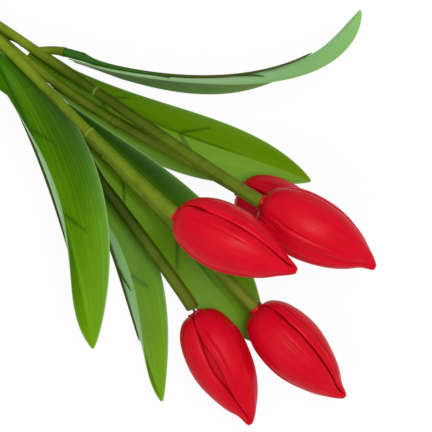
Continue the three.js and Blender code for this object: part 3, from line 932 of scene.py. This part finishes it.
    def petal(self, whorl: Whorl, index: int) -> Surface:
        """One petal as a closed shell with round margins.

        With a from −1 to 1 across and s up the petal, the radius of an outer petal is the outline's plus its
        relief; an inner petal stands back by the sink and falls in by 1 − 0.04·|a|^2.5. The bearing is
        middle + half·a, where the half on the side a > 0 of an outer petal is wider by the lap. An outer
        petal starts below the outline with a lobe of skirt·(1 − a²/2), which is thinner.

        Args:
            whorl: outer or inner.
            index: 0, 1 or 2, going round.

        Returns:
            The petal, with u across and v along in metres and the mark fold: painted shade in grooves,
            valleys and on inner petals.
        """
        outer = whorl is Whorl.OUTER
        phase = np.random.default_rng(100 * self.number + 10 * index + int(outer)).uniform(0, 2 * np.pi, 4)
        top = 1.0 if outer else self.inner_top
        middle = np.radians((90 if outer else 150) + 120 * index)
        a = self.columns_of(outer)
        face = np.concatenate([np.full(len(a), -1.0), np.full(len(a) - 2, 1.0)])[None, :]
        a = np.concatenate([a, a[-2:0:-1]])[None, :]
        s = top * (1 - np.cos(np.pi * np.linspace(0, 1, self.rows)[:, None])) / 2
        s = np.broadcast_to(s, (self.rows, a.shape[1]))
        if outer:
            lobe = self.skirt / self.length * (1 - a ** 2 / 2)
            s = np.concatenate([-lobe * np.linspace(1, 0, 6)[:-1, None], s])
        room = np.sqrt(np.clip(1 - np.abs(a) ** 24, 0, 1))
        thick = self.thickness * (1 - (1 - self.lobe_thickness) * smoothstep(0, 0.012, -s))
        depth = (0.0 if outer else self.thickness + FIT_GAP) + thick / 2 * (1 + face * room)
        layer = self.layer(s, depth)
        if outer:
            half = self.spread - self.base_gap * (1 - smoothstep(0, 0.1, s))
            half = half - self.gape * bell(s - 0.45, 0.22)
            lapped = smoothstep(0.14, 0.24, s) * (1 - smoothstep(0.84, 0.92, s))
            half = half + np.where(a > 0, self.lap * lapped, 0)
            high, fold = self.relief(a, s, phase)
            reach = layer[..., 0] + high
        else:
            half = self.inner_spread * (1 - 10 * np.clip(s / top - 0.8, 0, 1) ** 2)
            fold = np.full(s.shape, self.inner_painted_shade)
            reach = layer[..., 0] - self.sink * smoothstep(0.02, 0.18, s)
            reach = reach * (1 - 0.04 * np.abs(a) ** 2.5)
        points = self.standing(reach, middle + np.radians(half) * a, layer[..., 1])
        v = closed(s) * self.length * MM
        u = np.broadcast_to(closed(a) * self.radius * np.radians(self.spread) * MM, v.shape)
        fold = fold + self.base_fold * (1 - smoothstep(0, 0.09, s))
        return Surface(points, np.stack([u, v], axis=-1), {"fold": fold})

    def core(self) -> Surface:
        """The core: a turned body inside the petals over a short hub, with a bore that the wire goes into.

        Returns:
            The core, from the bore's end round its mouth to the top.
        """
        depth = 2 * self.thickness + 3 * FIT_GAP
        share = self.core_top * (1 - np.cos(np.pi * np.linspace(0, 1, 30))) / 2
        layer = self.layer(share, np.full(30, depth))
        body = self.base + (layer[1:, 0] - self.base) * self.core_share
        hub = self.base - self.thickness - FIT_GAP
        bevel = 0.2
        reach = np.concatenate([[self.core_bore, self.core_bore, hub - bevel, hub, hub], body, [0.3]])
        height = np.concatenate([
            [self.core_bore_depth, -self.core_drop, -self.core_drop, bevel - self.core_drop, depth],
            layer[1:, 1] + 0.01, [layer[-1, 1] + 1],
        ])
        centres = self.foot + height[:, None] * self.axis
        side, up = (np.tile(axis, (len(height), 1)) for axis in (self.x, self.y))
        return moulded(tube(centres, side, up, reach, 32), tint=0.6)

    def build(self, outer: Material, inner: Material, core: Material) -> None:
        """Makes the core and the six petals.

        Args:
            outer: finish of the outer petals.
            inner: finish of the inner petals.
            core: finish of the core.
        """
        body = f"head_{self.number}"
        piece = make_mesh(f"core_{self.number}", [self.core()])
        place(piece, core, body, f"bud_core_{self.number}")
        for index, letter in enumerate("abc"):
            for whorl, finish in ((Whorl.OUTER, outer), (Whorl.INNER, inner)):
                name = f"petal_{self.number}_{whorl.name.lower()}_{letter}"
                piece = make_mesh(name, [self.petal(whorl, index)], sharp=80)
                place(piece, finish, body, f"{whorl.value}_{self.number}_{letter}")


@dataclass
class TulipLeaf:
    """A cloth blade on a moulded spine that turns on a peg. A curve is a start, an even and a late growth."""

    number: int
    at: float
    bend: tuple[float, float, float]
    sweep: tuple[float, float, float]
    twist: tuple[float, float, float]
    fold: tuple[float, float, float]
    breadth: tuple[float, float] = (1.0, 1.0)  # of the left and right half
    belly: float = 1.27
    painted_light: tuple[float, float] = (0.0, 0.0)  # painted light: how far ahead of its place, towards the paler tip, each half's colour is taken
    painted_shade: tuple[float, float] = (0.0, 0.0)  # painted shade at the foot of each half
    length: float = 170
    width: float = 40
    thickness: float = 0.6
    blade_start: float = 5
    foot_width: float = 3
    foot_share: float = 0.12
    foot_ease: float = 0.001  # share of the length over which the width opens behind the foot
    tip_width: float = 0.4
    cup: float = 14
    socket_radius: float = 2.4
    bore_radius: float = 1.5
    bore_depth: float = 9.3
    bore_bevel: float = 0.25
    socket_cap: float = 1.7
    socket_ease: float = 25  # how fast the socket's radius passes into the rib's
    rib_radius: float = 1.3
    rib_tip_radius: float = 0.5
    rib_end: float = 0.8
    rib_gap: float = 0.03
    vein_shares: tuple[float, float] = (0.29, 0.56)
    vein_length: float = 18
    vein_radius: float = 0.6
    vein_angle: float = 38
    # painted shadow of the spine seen through the cloth: its strength and the half-widths of its strokes
    stroke_dark: float = 0.7
    rib_stroke: tuple[float, float] = (1.5, 0.4)  # half-widths of the rib's stroke, at foot and tip
    vein_stroke: float = 1.15
    steps: int = 1120
    rows: int = 170
    columns: int = 61

    def __post_init__(self) -> None:
        """Takes the leaf's place from its joint and steps out its midrib, as the sum of its directions."""
        joint = JOINTS[f"leaf_{self.number}"]
        self.mouth = np.array(joint["pos_m"]) / MM - ORIGIN
        self.axis = unit(np.array(joint["axis"]))
        self.basis = np.stack([*square_frame(self.axis), self.axis])
        self.straight = (self.bore_depth + self.socket_cap) / self.length
        s = np.linspace(0, 1, self.steps + 1)
        between = self.directions(s[:-1] + 0.5 / self.steps) * (self.length / self.steps)
        lift = self.socket_radius + FIT_GAP + self.thickness
        start = np.radians(self.twist[0])
        first = np.array([-lift * np.sin(start), lift * np.cos(start), 0.0])
        self.line = np.concatenate([first[None], first + np.cumsum(between, axis=0)])
        self.line_shares = s

    def free(self, share: Array) -> Array:
        """Share of the length beyond the straight socket."""
        return np.clip(share - self.straight, 0, 1) / (1 - self.straight)

    def grown(self, values: tuple[float, float, float], free: Array) -> Array:
        """start + even·t + late·t³, in radians."""
        return np.radians(values[0] + values[1] * free + values[2] * free ** 3)

    def directions(self, share: Array) -> Array:
        """Directions of the midrib in the leaf's frame.

        Args:
            share: shares of the length.

        Returns:
            (cos bend·sin sweep, sin bend, cos bend·cos sweep) at each share.
        """
        bend = self.grown(self.bend, self.free(share))
        sweep = self.grown(self.sweep, self.free(share))
        level = np.cos(bend)
        return np.stack([level * np.sin(sweep), np.sin(bend), level * np.cos(sweep)], axis=-1)

    def half_width(self, share: Array, offset: Array) -> Array:
        """Flat width of one half: tip + foot·(1−s)³ + full·sin(π·s^belly)^0.85, eased in behind the foot.

        Args:
            share: shares of the length.
            offset: above 0 for the left half, below for the right one.

        Returns:
            The half's width at each share.
        """
        body = np.maximum(np.sin(np.pi * share ** self.belly), 0) ** 0.85
        body = body * smoothstep(0, self.foot_ease, share)
        full = np.where(offset > 0, *self.breadth) * (self.width / 2 - self.tip_width)
        return self.tip_width + self.foot_width * (1 - share) ** 3 + full * body

    def spots(self, share: Array) -> tuple[Array, Array, Array, Array]:
        """Frames along the midrib, in the leaf's frame.

        Args:
            share: shares of the length.

        Returns:
            Centre, side and up, turned by the twist, and the fold's angle at each share.
        """
        centre = np.stack([np.interp(share, self.line_shares, c) for c in self.line.T], axis=-1)
        side, up = square_frame(self.directions(share), np.array([0.0, 1.0, 0.0]))
        free = self.free(share)
        twist = self.grown(self.twist, free)[..., None]
        fold = self.grown(self.fold, free) * np.minimum(free / self.foot_share, 1)
        turned = side * np.cos(twist) + up * np.sin(twist)
        return centre, turned, up * np.cos(twist) - side * np.sin(twist), fold

    def on_blade(self, share: Array, offset: Array, depth: Array) -> Array:
        """Points of the blade in the leaf's frame.

        Each half rises at the fold angle and curves on by the cup: with slope = fold + cup·|a|, a point is
        (half/cup)·(sin slope − sin fold) + depth·sin slope across and
        (half/cup)·(cos fold − cos slope) − depth·cos slope up. On the fold the depth is mitred.

        Args:
            share: shares of the length.
            offset: a, from −1 to 1 across.
            depth: depth under the upper face.

        Returns:
            Points, in millimetres.
        """
        centre, side, up, fold = self.spots(share)
        half = self.half_width(share, offset)
        cup = np.radians(self.cup)
        slope = fold + cup * np.abs(offset)
        across = (half / cup) * (np.sin(slope) - np.sin(fold)) + depth * np.sin(slope)
        rise = (half / cup) * (np.cos(fold) - np.cos(slope)) - depth * np.cos(slope)
        middle = np.abs(offset) < 1e-6
        across = np.where(middle, 0, np.sign(offset) * across)
        rise = np.where(middle, -depth / np.cos(fold), rise)
        return centre + across[..., None] * side + rise[..., None] * up

    def world(self, points: Array) -> Array:
        """Takes points of the leaf's frame to the bouquet's frame."""
        return self.mouth + points @ self.basis

    def strokes(self, x: Array, y: Array) -> Array:
        """Painted shadow where the spine shows through: dark over its rib and side veins, falling off beside
        them.

        Args:
            x: distance from the fold.
            y: distance along the leaf.

        Returns:
            Values from 0 to 1: exp(−(distance/width)²) from each line, the largest of them.
        """
        angle = np.radians(self.vein_angle)
        foot, tip = self.rib_stroke
        wide = np.maximum(foot + (tip - foot) * y / self.length / self.rib_end, tip)
        found = bell(x, wide) * (1 - smoothstep(0.7, self.rib_end, y / self.length)) * self.stroke_dark
        for share in self.vein_shares:
            for hand in (-1, 1):
                run = np.stack([hand * np.sin(angle), np.cos(angle)])
                ahead = y - share * self.length
                along = np.clip(x * run[0] + ahead * run[1], 0, self.vein_length)
                away = np.hypot(x - along * run[0], ahead - along * run[1])
                wide = self.vein_stroke * (1 - 0.45 * along / self.vein_length)
                found = np.maximum(found, self.stroke_dark * bell(away, wide))
        return found

    def blade(self) -> Surface:
        """The blade as a thin closed shell: its two faces meet in a round margin.

        Returns:
            The blade, with u across and v along in metres and the marks along (moved by painted light),
            under, edge and painted_shadow.
        """
        a = np.sin(np.linspace(-np.pi / 2, np.pi / 2, self.columns))
        a = np.where(np.abs(a) < 1e-9, 0, a)
        a = np.concatenate([a[::-1], a[1:-1]])
        face = np.concatenate([np.full(self.columns, -1.0), np.full(self.columns - 2, 1.0)])
        start = self.blade_start / self.length
        s = start + (1 - start) * np.linspace(0, 1, self.rows)
        share, offset = np.meshgrid(s, a, indexing="ij")
        room = np.sqrt(np.clip(1 - np.abs(offset) ** 8, 0, 1))
        under = (1 + face * room) / 2
        half = self.half_width(share, offset)
        # painted shade at the foot of a half, fading out towards the middle of the leaf and near the midrib
        painted_shade = np.where(offset > 0, *self.painted_shade) * (1 - smoothstep(0.35, 0.7, share))
        painted_shade = painted_shade * smoothstep(0.1, 0.6, np.abs(offset))
        uv = np.stack([closed(offset) * self.width / 2 * MM, closed(share) * self.length * MM], axis=-1)
        return Surface(self.world(self.on_blade(share, offset, self.thickness * under)), uv, {
            # painted light moves each half's colour on towards the paler tip
            "along": share + np.where(offset > 0, *self.painted_light),
            "under": under,
            "edge": half * (1 - np.abs(offset)) * MM,
            "painted_shadow": np.maximum(painted_shade, self.strokes(offset * half, share * self.length)),
        })

    def rib(self) -> Surface:
        """Socket and rib in one turned line: the bore from its end to the mouth, then outside to the tip.

        The radius eases from the socket's to a taper as exp(−25·t) beyond the socket.

        Returns:
            The closed line, a small gap under the blade.
        """
        s = np.concatenate([[0, 0.35, 0.8], np.linspace(1.2, self.rib_end * self.length, 110)]) / self.length
        neck = np.exp(-np.maximum(s - self.straight, 0) * self.socket_ease)
        taper = self.rib_radius + (self.rib_tip_radius - self.rib_radius) * s / self.rib_end
        reach = taper + (self.socket_radius - taper) * neck
        gap = self.rib_gap + (FIT_GAP - self.rib_gap) * (1 - smoothstep(0, 0.05, s - self.straight))
        centre, side, up, fold = self.spots(s)
        centre = centre - up * (self.thickness / np.cos(fold) + gap + reach)[:, None]
        reach[:2] -= [0.35, 0.1]
        reach[-4:] *= [0.96, 0.86, 0.66, 0.3]
        bore = np.array([[0, 0, self.bore_depth], [0, 0, self.bore_bevel], [0, 0, 0.0]])
        centre = np.concatenate([bore, centre])
        wall = self.bore_radius + np.array([0, 0, self.bore_bevel])
        side, up = (np.concatenate([np.tile(axes[0], (len(bore), 1)), axes]) for axes in (side, up))
        return moulded(self.world(tube(centre, side, up, np.concatenate([wall, reach]), 20)))

    def vein(self, start: float, hand: int) -> Surface:
        """A side vein: a tapered tube from the rib outwards, close under one half of the blade.

        Args:
            start: share of the length at which it leaves the rib.
            hand: 1 for the left half, −1 for the right one.

        Returns:
            The tube, of radius R·(1 − 0.4·t)·√(1 − 0.9·t⁸).
        """
        reach = np.linspace(0, 1, 16)
        angle = np.radians(self.vein_angle)
        share = start + self.vein_length * np.cos(angle) / self.length * reach
        radius = self.vein_radius * (1 - 0.4 * reach) * np.sqrt(1 - 0.9 * reach ** 8)
        offset = hand * self.vein_length * np.sin(angle) * reach / self.half_width(share, hand)
        centre = self.on_blade(share, offset, self.thickness + self.rib_gap + radius)
        _, side, up, _ = self.spots(share)
        return moulded(self.world(tube(centre, side, up, radius, 10)))

    def build(self, cloth: Material, plastic: Material) -> None:
        """Makes the blade and the spine.

        Args:
            cloth: finish of the blade.
            plastic: finish of the spine.
        """
        body = f"leaf_{self.number}"
        spine = make_mesh(f"spine_{self.number}", [self.rib()])
        veins = [self.vein(share, hand) for share in self.vein_shares for hand in (-1, 1)]
        unite(spine, make_mesh(f"veins_{self.number}", veins))
        along = np.linalg.norm(points_of(spine) - self.mouth, axis=1) / self.length
        mark(spine, "tint", smoothstep(0.2, 0.5, along))
        place(spine, plastic, body, f"leaf_spine_{self.number}")
        blade = make_mesh(f"blade_{self.number}", [self.blade()], sharp=60)
        place(blade, cloth, body, f"leaf_blade_{self.number}")


@dataclass
class Stem:
    """A wire in its branch with the fluted upper stem, the head on its end and the leaf on its peg."""

    number: int
    head: TulipHead
    leaf: TulipLeaf
    leave: float
    rise: float
    ease: tuple[float, float]
    collar: float
    gap: float
    clock: float
    tint: float = 0.1  # brown patches near the head
    base_tint: float = 0.08
    tint_reach: tuple[float, float] = (34, 4)  # before the end, between which the patches come in
    shade: float = 0.0  # share of the deep colour: partly the plastic's darker tone, partly painted shade where the stem lies in the shadow of others
    shade_fade: float = 0.7
    wire_circle: float = 2.89221
    bead: float = 0.08
    # strength of the painted highlight on the bead
    bead_light: float = 0.6
    wire_radius: float = 0.7
    wire_bevel: float = 0.2
    stem_radius: float = 2.8
    flare: float = 0.7
    step: float = 0.3  # by which a sleeve without a bead starts thinner
    step_length: float = 9
    collar_length: float = 2.4
    collar_bevel: float = 0.15
    flutes: int = 6
    flute_depth: float = 0.3
    shoulder: float = 1.4
    bore_radius: float = 1.0
    socket_wall: float = 0.9
    columns: int = 72

    def __post_init__(self) -> None:
        """Lays the wire from its place in the trunk to the foot of the head."""
        clock = np.radians(self.clock)
        height = BUSH.height + self.wire_circle * np.sin(clock)
        crown = np.array([0, self.wire_circle * np.cos(clock), height])
        self.wire = WirePath(
            crown, self.head.foot, self.head.axis, heading(self.leave, self.rise), self.ease, self.gap,
        )

    def core_wire(self) -> Surface:
        """A round bar along the whole line, with a small bevel at its cut ends.

        Returns:
            The bar, from the trunk's end into the head.
        """
        end = self.wire.length
        curve = np.linspace(self.wire.crown_at, self.wire.top_at, 90)
        distance = np.concatenate([[0, 0.15, 60], curve, [end - self.wire_bevel, end]])
        reach = np.full(len(distance), self.wire_radius)
        reach[[0, -1]] -= self.wire_bevel
        return Surface(self.wire.bar(distance, reach, 16))

    def sleeve(self) -> Surface:
        """The upper stem: a collar with a bead, then a flared bar with flutes, rounded off under the head.

        The radius is R + flare·t − depth·(1 − cos 6θ)/2, with the flutes fading out at both ends. Behind the
        collar it starts thinner by the step, which fades as exp(−distance/step length).

        Returns:
            The sleeve, with the marks tint, rim and shade, which vary along it; the shade is partly painted
            shade.
        """
        start = self.wire.crown_at + self.collar + FIT_GAP
        end = self.wire.top_at
        turn_at = end - self.shoulder
        lip = start + self.collar_length * np.linspace(0, 1, 14)
        limb = np.linspace(lip[-1], turn_at, 70)[1:]
        round_end = end - self.shoulder * (1 - np.sin(np.linspace(0, np.pi / 2, 10)[1:]))
        distance = np.concatenate([lip, limb, round_end])
        reach = self.stem_radius + self.flare * np.clip((distance - lip[-1]) / (turn_at - lip[-1]), 0, 1)
        bead = np.clip((distance - start) / self.collar_length, 0, 1)
        reach = reach + self.bead * np.sin(np.pi * np.clip(bead * 1.2, 0, 1)) ** 0.5
        reach = reach - self.collar_bevel * (distance == start)
        reach = reach - (self.step - self.bead) * np.exp((start - distance) / self.step_length)
        turn = np.clip((distance - turn_at) / self.shoulder, 0, 1)
        final = self.bore_radius + self.socket_wall
        reach = final + (reach - final) * np.sqrt(1 - turn ** 2)
        angle = np.linspace(0, 2 * np.pi, self.columns, endpoint=False)[None, :]
        deep = smoothstep(start + self.collar_length, start + 2.5 * self.collar_length, distance)
        deep = self.flute_depth * deep * (1 - smoothstep(end - 2 * self.shoulder, end, distance))
        waves = (1 - np.cos(self.flutes * angle)) / 2
        points = self.wire.bar(distance, reach[:, None] - deep[:, None] * waves, self.columns)
        near = smoothstep(*(end - before for before in self.tint_reach), distance)
        # painted highlight along the bead's crown, as strong as the bead is high
        lit = smoothstep(0.25, 0.9, np.sin(np.pi * np.clip(bead * 1.15, 0, 1))) * self.bead / self.step
        # the stem's shade, partly painted shade, fades towards the head
        painted_shade = 1 - self.shade_fade * smoothstep(start, end - 20, distance)
        return Surface(points, marks={
            key: np.repeat(values[:, None], self.columns, axis=1) for key, values in (
                ("tint", self.base_tint + self.tint * near),
                ("rim", self.bead_light * lit),
                ("shade", self.shade * painted_shade),
            )
        })

    def build(self, plastic: Material, steel: Material) -> None:
        """Makes the upper stem and the wire.

        Args:
            plastic: finish of the upper stem.
            steel: finish of the wire.
        """
        sleeve = make_mesh(f"stem_{self.number}", [self.sleeve()], sharp=50)
        place(sleeve, plastic, "bush", f"upper_stem_{self.number}")
        wire = make_mesh(f"wire_{self.number}", [self.core_wire()])
        place(wire, steel, "bush", f"core_wire_{self.number}")


@dataclass(frozen=True)
class Lamp:
    """A square soft lamp; its place is in metres from the middle of the picture, to its right and its top."""

    name: str
    right: float
    top: float
    height: float
    size: float
    power: float


@dataclass
class Studio:
    """A pale table, soft light and a camera straight above the bouquet."""

    table_size: float = 5.0
    table_colour: str = "#F4F4F2"
    table_lit: float = 0.94  # share of plain white that the camera sees on the table
    table_drop: float = 0.2  # millimetres by which it lies under the bouquet
    light_colour: str = "#FFFFFF"
    room_light: float = 0.4
    lamps: tuple[Lamp, ...] = (
        Lamp("key", 0.2, 0.05, 1.1, 0.5, 7.6),
        Lamp("fill", -0.6, -0.6, 1.0, 1.0, 2.5),
    )
    camera_at: tuple[float, float] = (169.6, 4.3)
    camera_height: float = 0.9
    camera_turn: float = 41
    focal_pixels: float = 1683
    image_pixels: float = 432
    sensor: float = 36

    def __post_init__(self) -> None:
        """Finds the middle of the picture on the table, in metres."""
        self.middle = np.array([*self.camera_at, 0]) * MM + ORIGIN * MM

    def seen(self, tree: Tree) -> Socket:
        """Adds nodes that tell rays of sight from rays of light.

        Args:
            tree: node tree of a material or of the world.

        Returns:
            1 for rays from the camera, off gloss or through glass, and 0 for the rest.
        """
        path = add_node(tree, "LightPath").node.outputs
        found = path["Is Camera Ray"]
        for kind in ("Is Glossy Ray", "Is Transmission Ray"):
            found = add_node(tree, "Math", (found, path[kind]), operation="MAXIMUM")
        return found

    def table(self) -> None:
        """Lays the table: a flat sheet that looks white to the camera and keeps the bouquet's shadow."""
        half = self.table_size / 2
        mesh = bpy.data.meshes.new("table")
        corners = [(-half, -half), (half, -half), (half, half), (-half, half)]
        mesh.from_pydata([(x, y, -self.table_drop * MM) for x, y in corners], [], [(0, 1, 2, 3)])
        piece = bpy.data.objects.new("table", mesh)
        bpy.context.scene.collection.objects.link(piece)
        made, tree = start_material("painted_table")
        spot = add_node(tree, "TexCoord", out="Object")
        speck = add_node(tree, "TexNoise", {"Vector": spot, "Scale": 40.0})
        rough = add_node(tree, "MapRange", (speck, *NOISE_BAND, 0.85, 0.95))
        paint = add_node(tree, "BsdfPrincipled", {
            "Base Color": linear(self.table_colour), "Roughness": rough, "Specular IOR Level": 0.1,
        })
        white = add_node(tree, "Emission", {"Strength": 1.0})
        share = add_node(tree, "Math", (self.seen(tree), self.table_lit), operation="MULTIPLY")
        mixed = add_node(tree, "MixShader", (share, paint, white))
        add_node(tree, "OutputMaterial", {"Surface": mixed})
        mesh.materials.append(made)

    def lights(self) -> None:
        """Hangs a soft lamp nearly overhead and a weaker one at the lower left, in an evenly lit room."""
        world = bpy.data.worlds.new("studio")
        bpy.context.scene.world = world
        world.use_nodes = True
        tree = world.node_tree
        tree.nodes.clear()
        soft, white = (
            add_node(tree, "Background", {"Color": linear(self.light_colour), "Strength": strength})
            for strength in (self.room_light, 1.0)
        )
        mixed = add_node(tree, "MixShader", (self.seen(tree), soft, white))
        add_node(tree, "OutputWorld", {"Surface": mixed})
        turn = np.radians(self.camera_turn)
        top = np.array([-np.sin(turn), np.cos(turn), 0])
        right = np.array([np.cos(turn), np.sin(turn), 0])
        for lamp in self.lamps:
            data = bpy.data.lights.new(lamp.name, "AREA")
            data.energy = lamp.power
            data.size = lamp.size
            holder = bpy.data.objects.new(lamp.name, data)
            spot = self.middle + right * lamp.right + top * lamp.top + np.array([0, 0, lamp.height])
            holder.location = spot
            back = unit(spot - self.middle)
            side, up = square_frame(back)
            holder.rotation_euler = Matrix(np.stack([side, up, back], axis=1).tolist()).to_euler()
            bpy.context.scene.collection.objects.link(holder)

    def camera(self) -> None:
        """Hangs the camera over the table, looking straight down, turned as the picture is."""
        data = bpy.data.cameras.new("camera")
        data.sensor_width = self.sensor
        data.lens = self.focal_pixels / self.image_pixels * self.sensor
        data.clip_end = 100
        holder = bpy.data.objects.new("camera", data)
        holder.location = (self.middle[0], self.middle[1], self.camera_height)
        holder.rotation_euler = (0, 0, np.radians(self.camera_turn))
        bpy.context.scene.collection.objects.link(holder)
        bpy.context.scene.camera = holder

    def build(self) -> None:
        """Sets up table, light and camera."""
        self.table()
        self.lights()
        self.camera()
        bpy.context.scene.view_settings.view_transform = "Standard"


BUSH = BushFrame()
MOUNT = np.array(frame["record"]["mounts"][0]["pos_m"]) / MM
ORIGIN = MOUNT + np.array([BUSH.trunk_length, 0, -BUSH.height])
JOINTS = {joint["child"]: joint for joint in frame["joints"]}


def bouquet() -> list[Stem]:
    """Gives the five stems with their heads and leaves; the numbers of each bend follow the picture.

    Returns:
        The stems, in the order of their numbers.
    """
    return [
        Stem(
            1, TulipHead(1, 22, lap=6, hook=(0, 0.8)), TulipLeaf(
                1, 9.5, (0, 7, -17), (0, -24.3, 6), (-31, -42.7, 66.7), (35, 49, -76),
                breadth=(1.3, 1.0), belly=0.95, painted_shade=(0.6, 0.0), foot_ease=0.092,
            ),
            leave=0, rise=12, ease=(25, 12), collar=99, gap=0.3, clock=90, shade=0.3, bead=0.3,
        ),
        Stem(
            2, TulipHead(2, -25, hook=(180, 2.2)), TulipLeaf(
                2, 44, (0, -37, 24), (0, 31, 49), (89, 0, 72), (5, 0, 15), breadth=(1.0, 1.25),
            ),
            leave=8, rise=6, ease=(40, 12), collar=82, gap=0.3, clock=18, shade=0.8, bead=0.3,
        ),
        Stem(
            3, TulipHead(3, 40), TulipLeaf(
                3, 20, (0, 2.4, -1.2), (0, 38, -25), (29, 0, -19), (23, 0, -13), painted_light=(0.9, 0.9),
            ),
            leave=-6, rise=9, ease=(70, 40), collar=96, gap=0.3, clock=-54, shade=0.5,
        ),
        Stem(
            4, TulipHead(4, 25, hook=(0, 1.5)), TulipLeaf(
                4, 54, (0, 1, -1.4), (0, -21, 18), (2, 0, 5), (9, 0, -12),
                breadth=(1.22, 0.93), belly=1.5, painted_light=(0.0, 0.8), painted_shade=(0.95, 0.0),
            ),
            leave=-5, rise=11, ease=(60, 40), collar=104, gap=0.3, clock=-126, tint=0.5, shade=0.2,
        ),
        Stem(
            5, TulipHead(5, 75, gape=9, lap=0, hook=(180, 2.0), skirt=1.0), TulipLeaf(
                5, 50, (0, 29, -23), (0, -42, 29), (-40, -44, 60), (10, 90, -78),
                breadth=(1.0, 0.75), painted_light=(0.1, 0.1),
            ),
            # painted shade: this stem lies in the shadow of the others
            leave=-5, rise=18, ease=(50, 15), collar=104, gap=2, clock=162, tint=0.6, shade=1.5,
        ),
    ]


def main() -> None:
    """Builds the bouquet piece by piece, then the studio."""
    logging.basicConfig(level=logging.INFO, format="%(name)s: %(message)s")
    outer = CoatedFoam("latex_coated_foam_outer", "#CE021E", "#DC2438", "#B4000E").material()
    # the inner foam is a little darker than the outer: painted shade inside the head
    inner = CoatedFoam("latex_coated_foam_inner", "#C8021C", "#D41C30", "#AA000E").material()
    cloth = CoatedCloth(
        "coated_polyester_leaf", foot="#3C7200", middle="#558A00", tip="#6A9A06", vein="#8CB828",
        underside="#86BE70", under_vein="#9CCC86", margin="#A4C070", painted_shadow="#1C4402",
    ).material()
    olive, fresh, dark, core = (
        MouldedPlastic("moulded_polyethylene_" + use, *colours).material() for use, *colours in (
            ("olive", "#728818", "#869A2C", "#344A02", "#4C4204"),
            ("stem", "#6A8612", "#829838", "#2E4402", "#5E5418"),
            ("spine", "#2E5C1C", "#46742E", "#1F4410", "#4E4A1C"),
            # the core's dark red-brown is painted shade: it makes the gap under each head read as shadow
            ("core", "#5A2418", "#6E3424", "#401810", "#5A1214"),
        )
    )
    steel = DrawnSteel().material()
    stems = bouquet()
    BUSH.build(stems, olive)
    for stem in stems:
        stem.build(fresh, steel)
        stem.head.build(outer, inner, core)
        stem.leaf.build(cloth, dark)
    Studio().build()


if __name__ == "__main__":
    main()
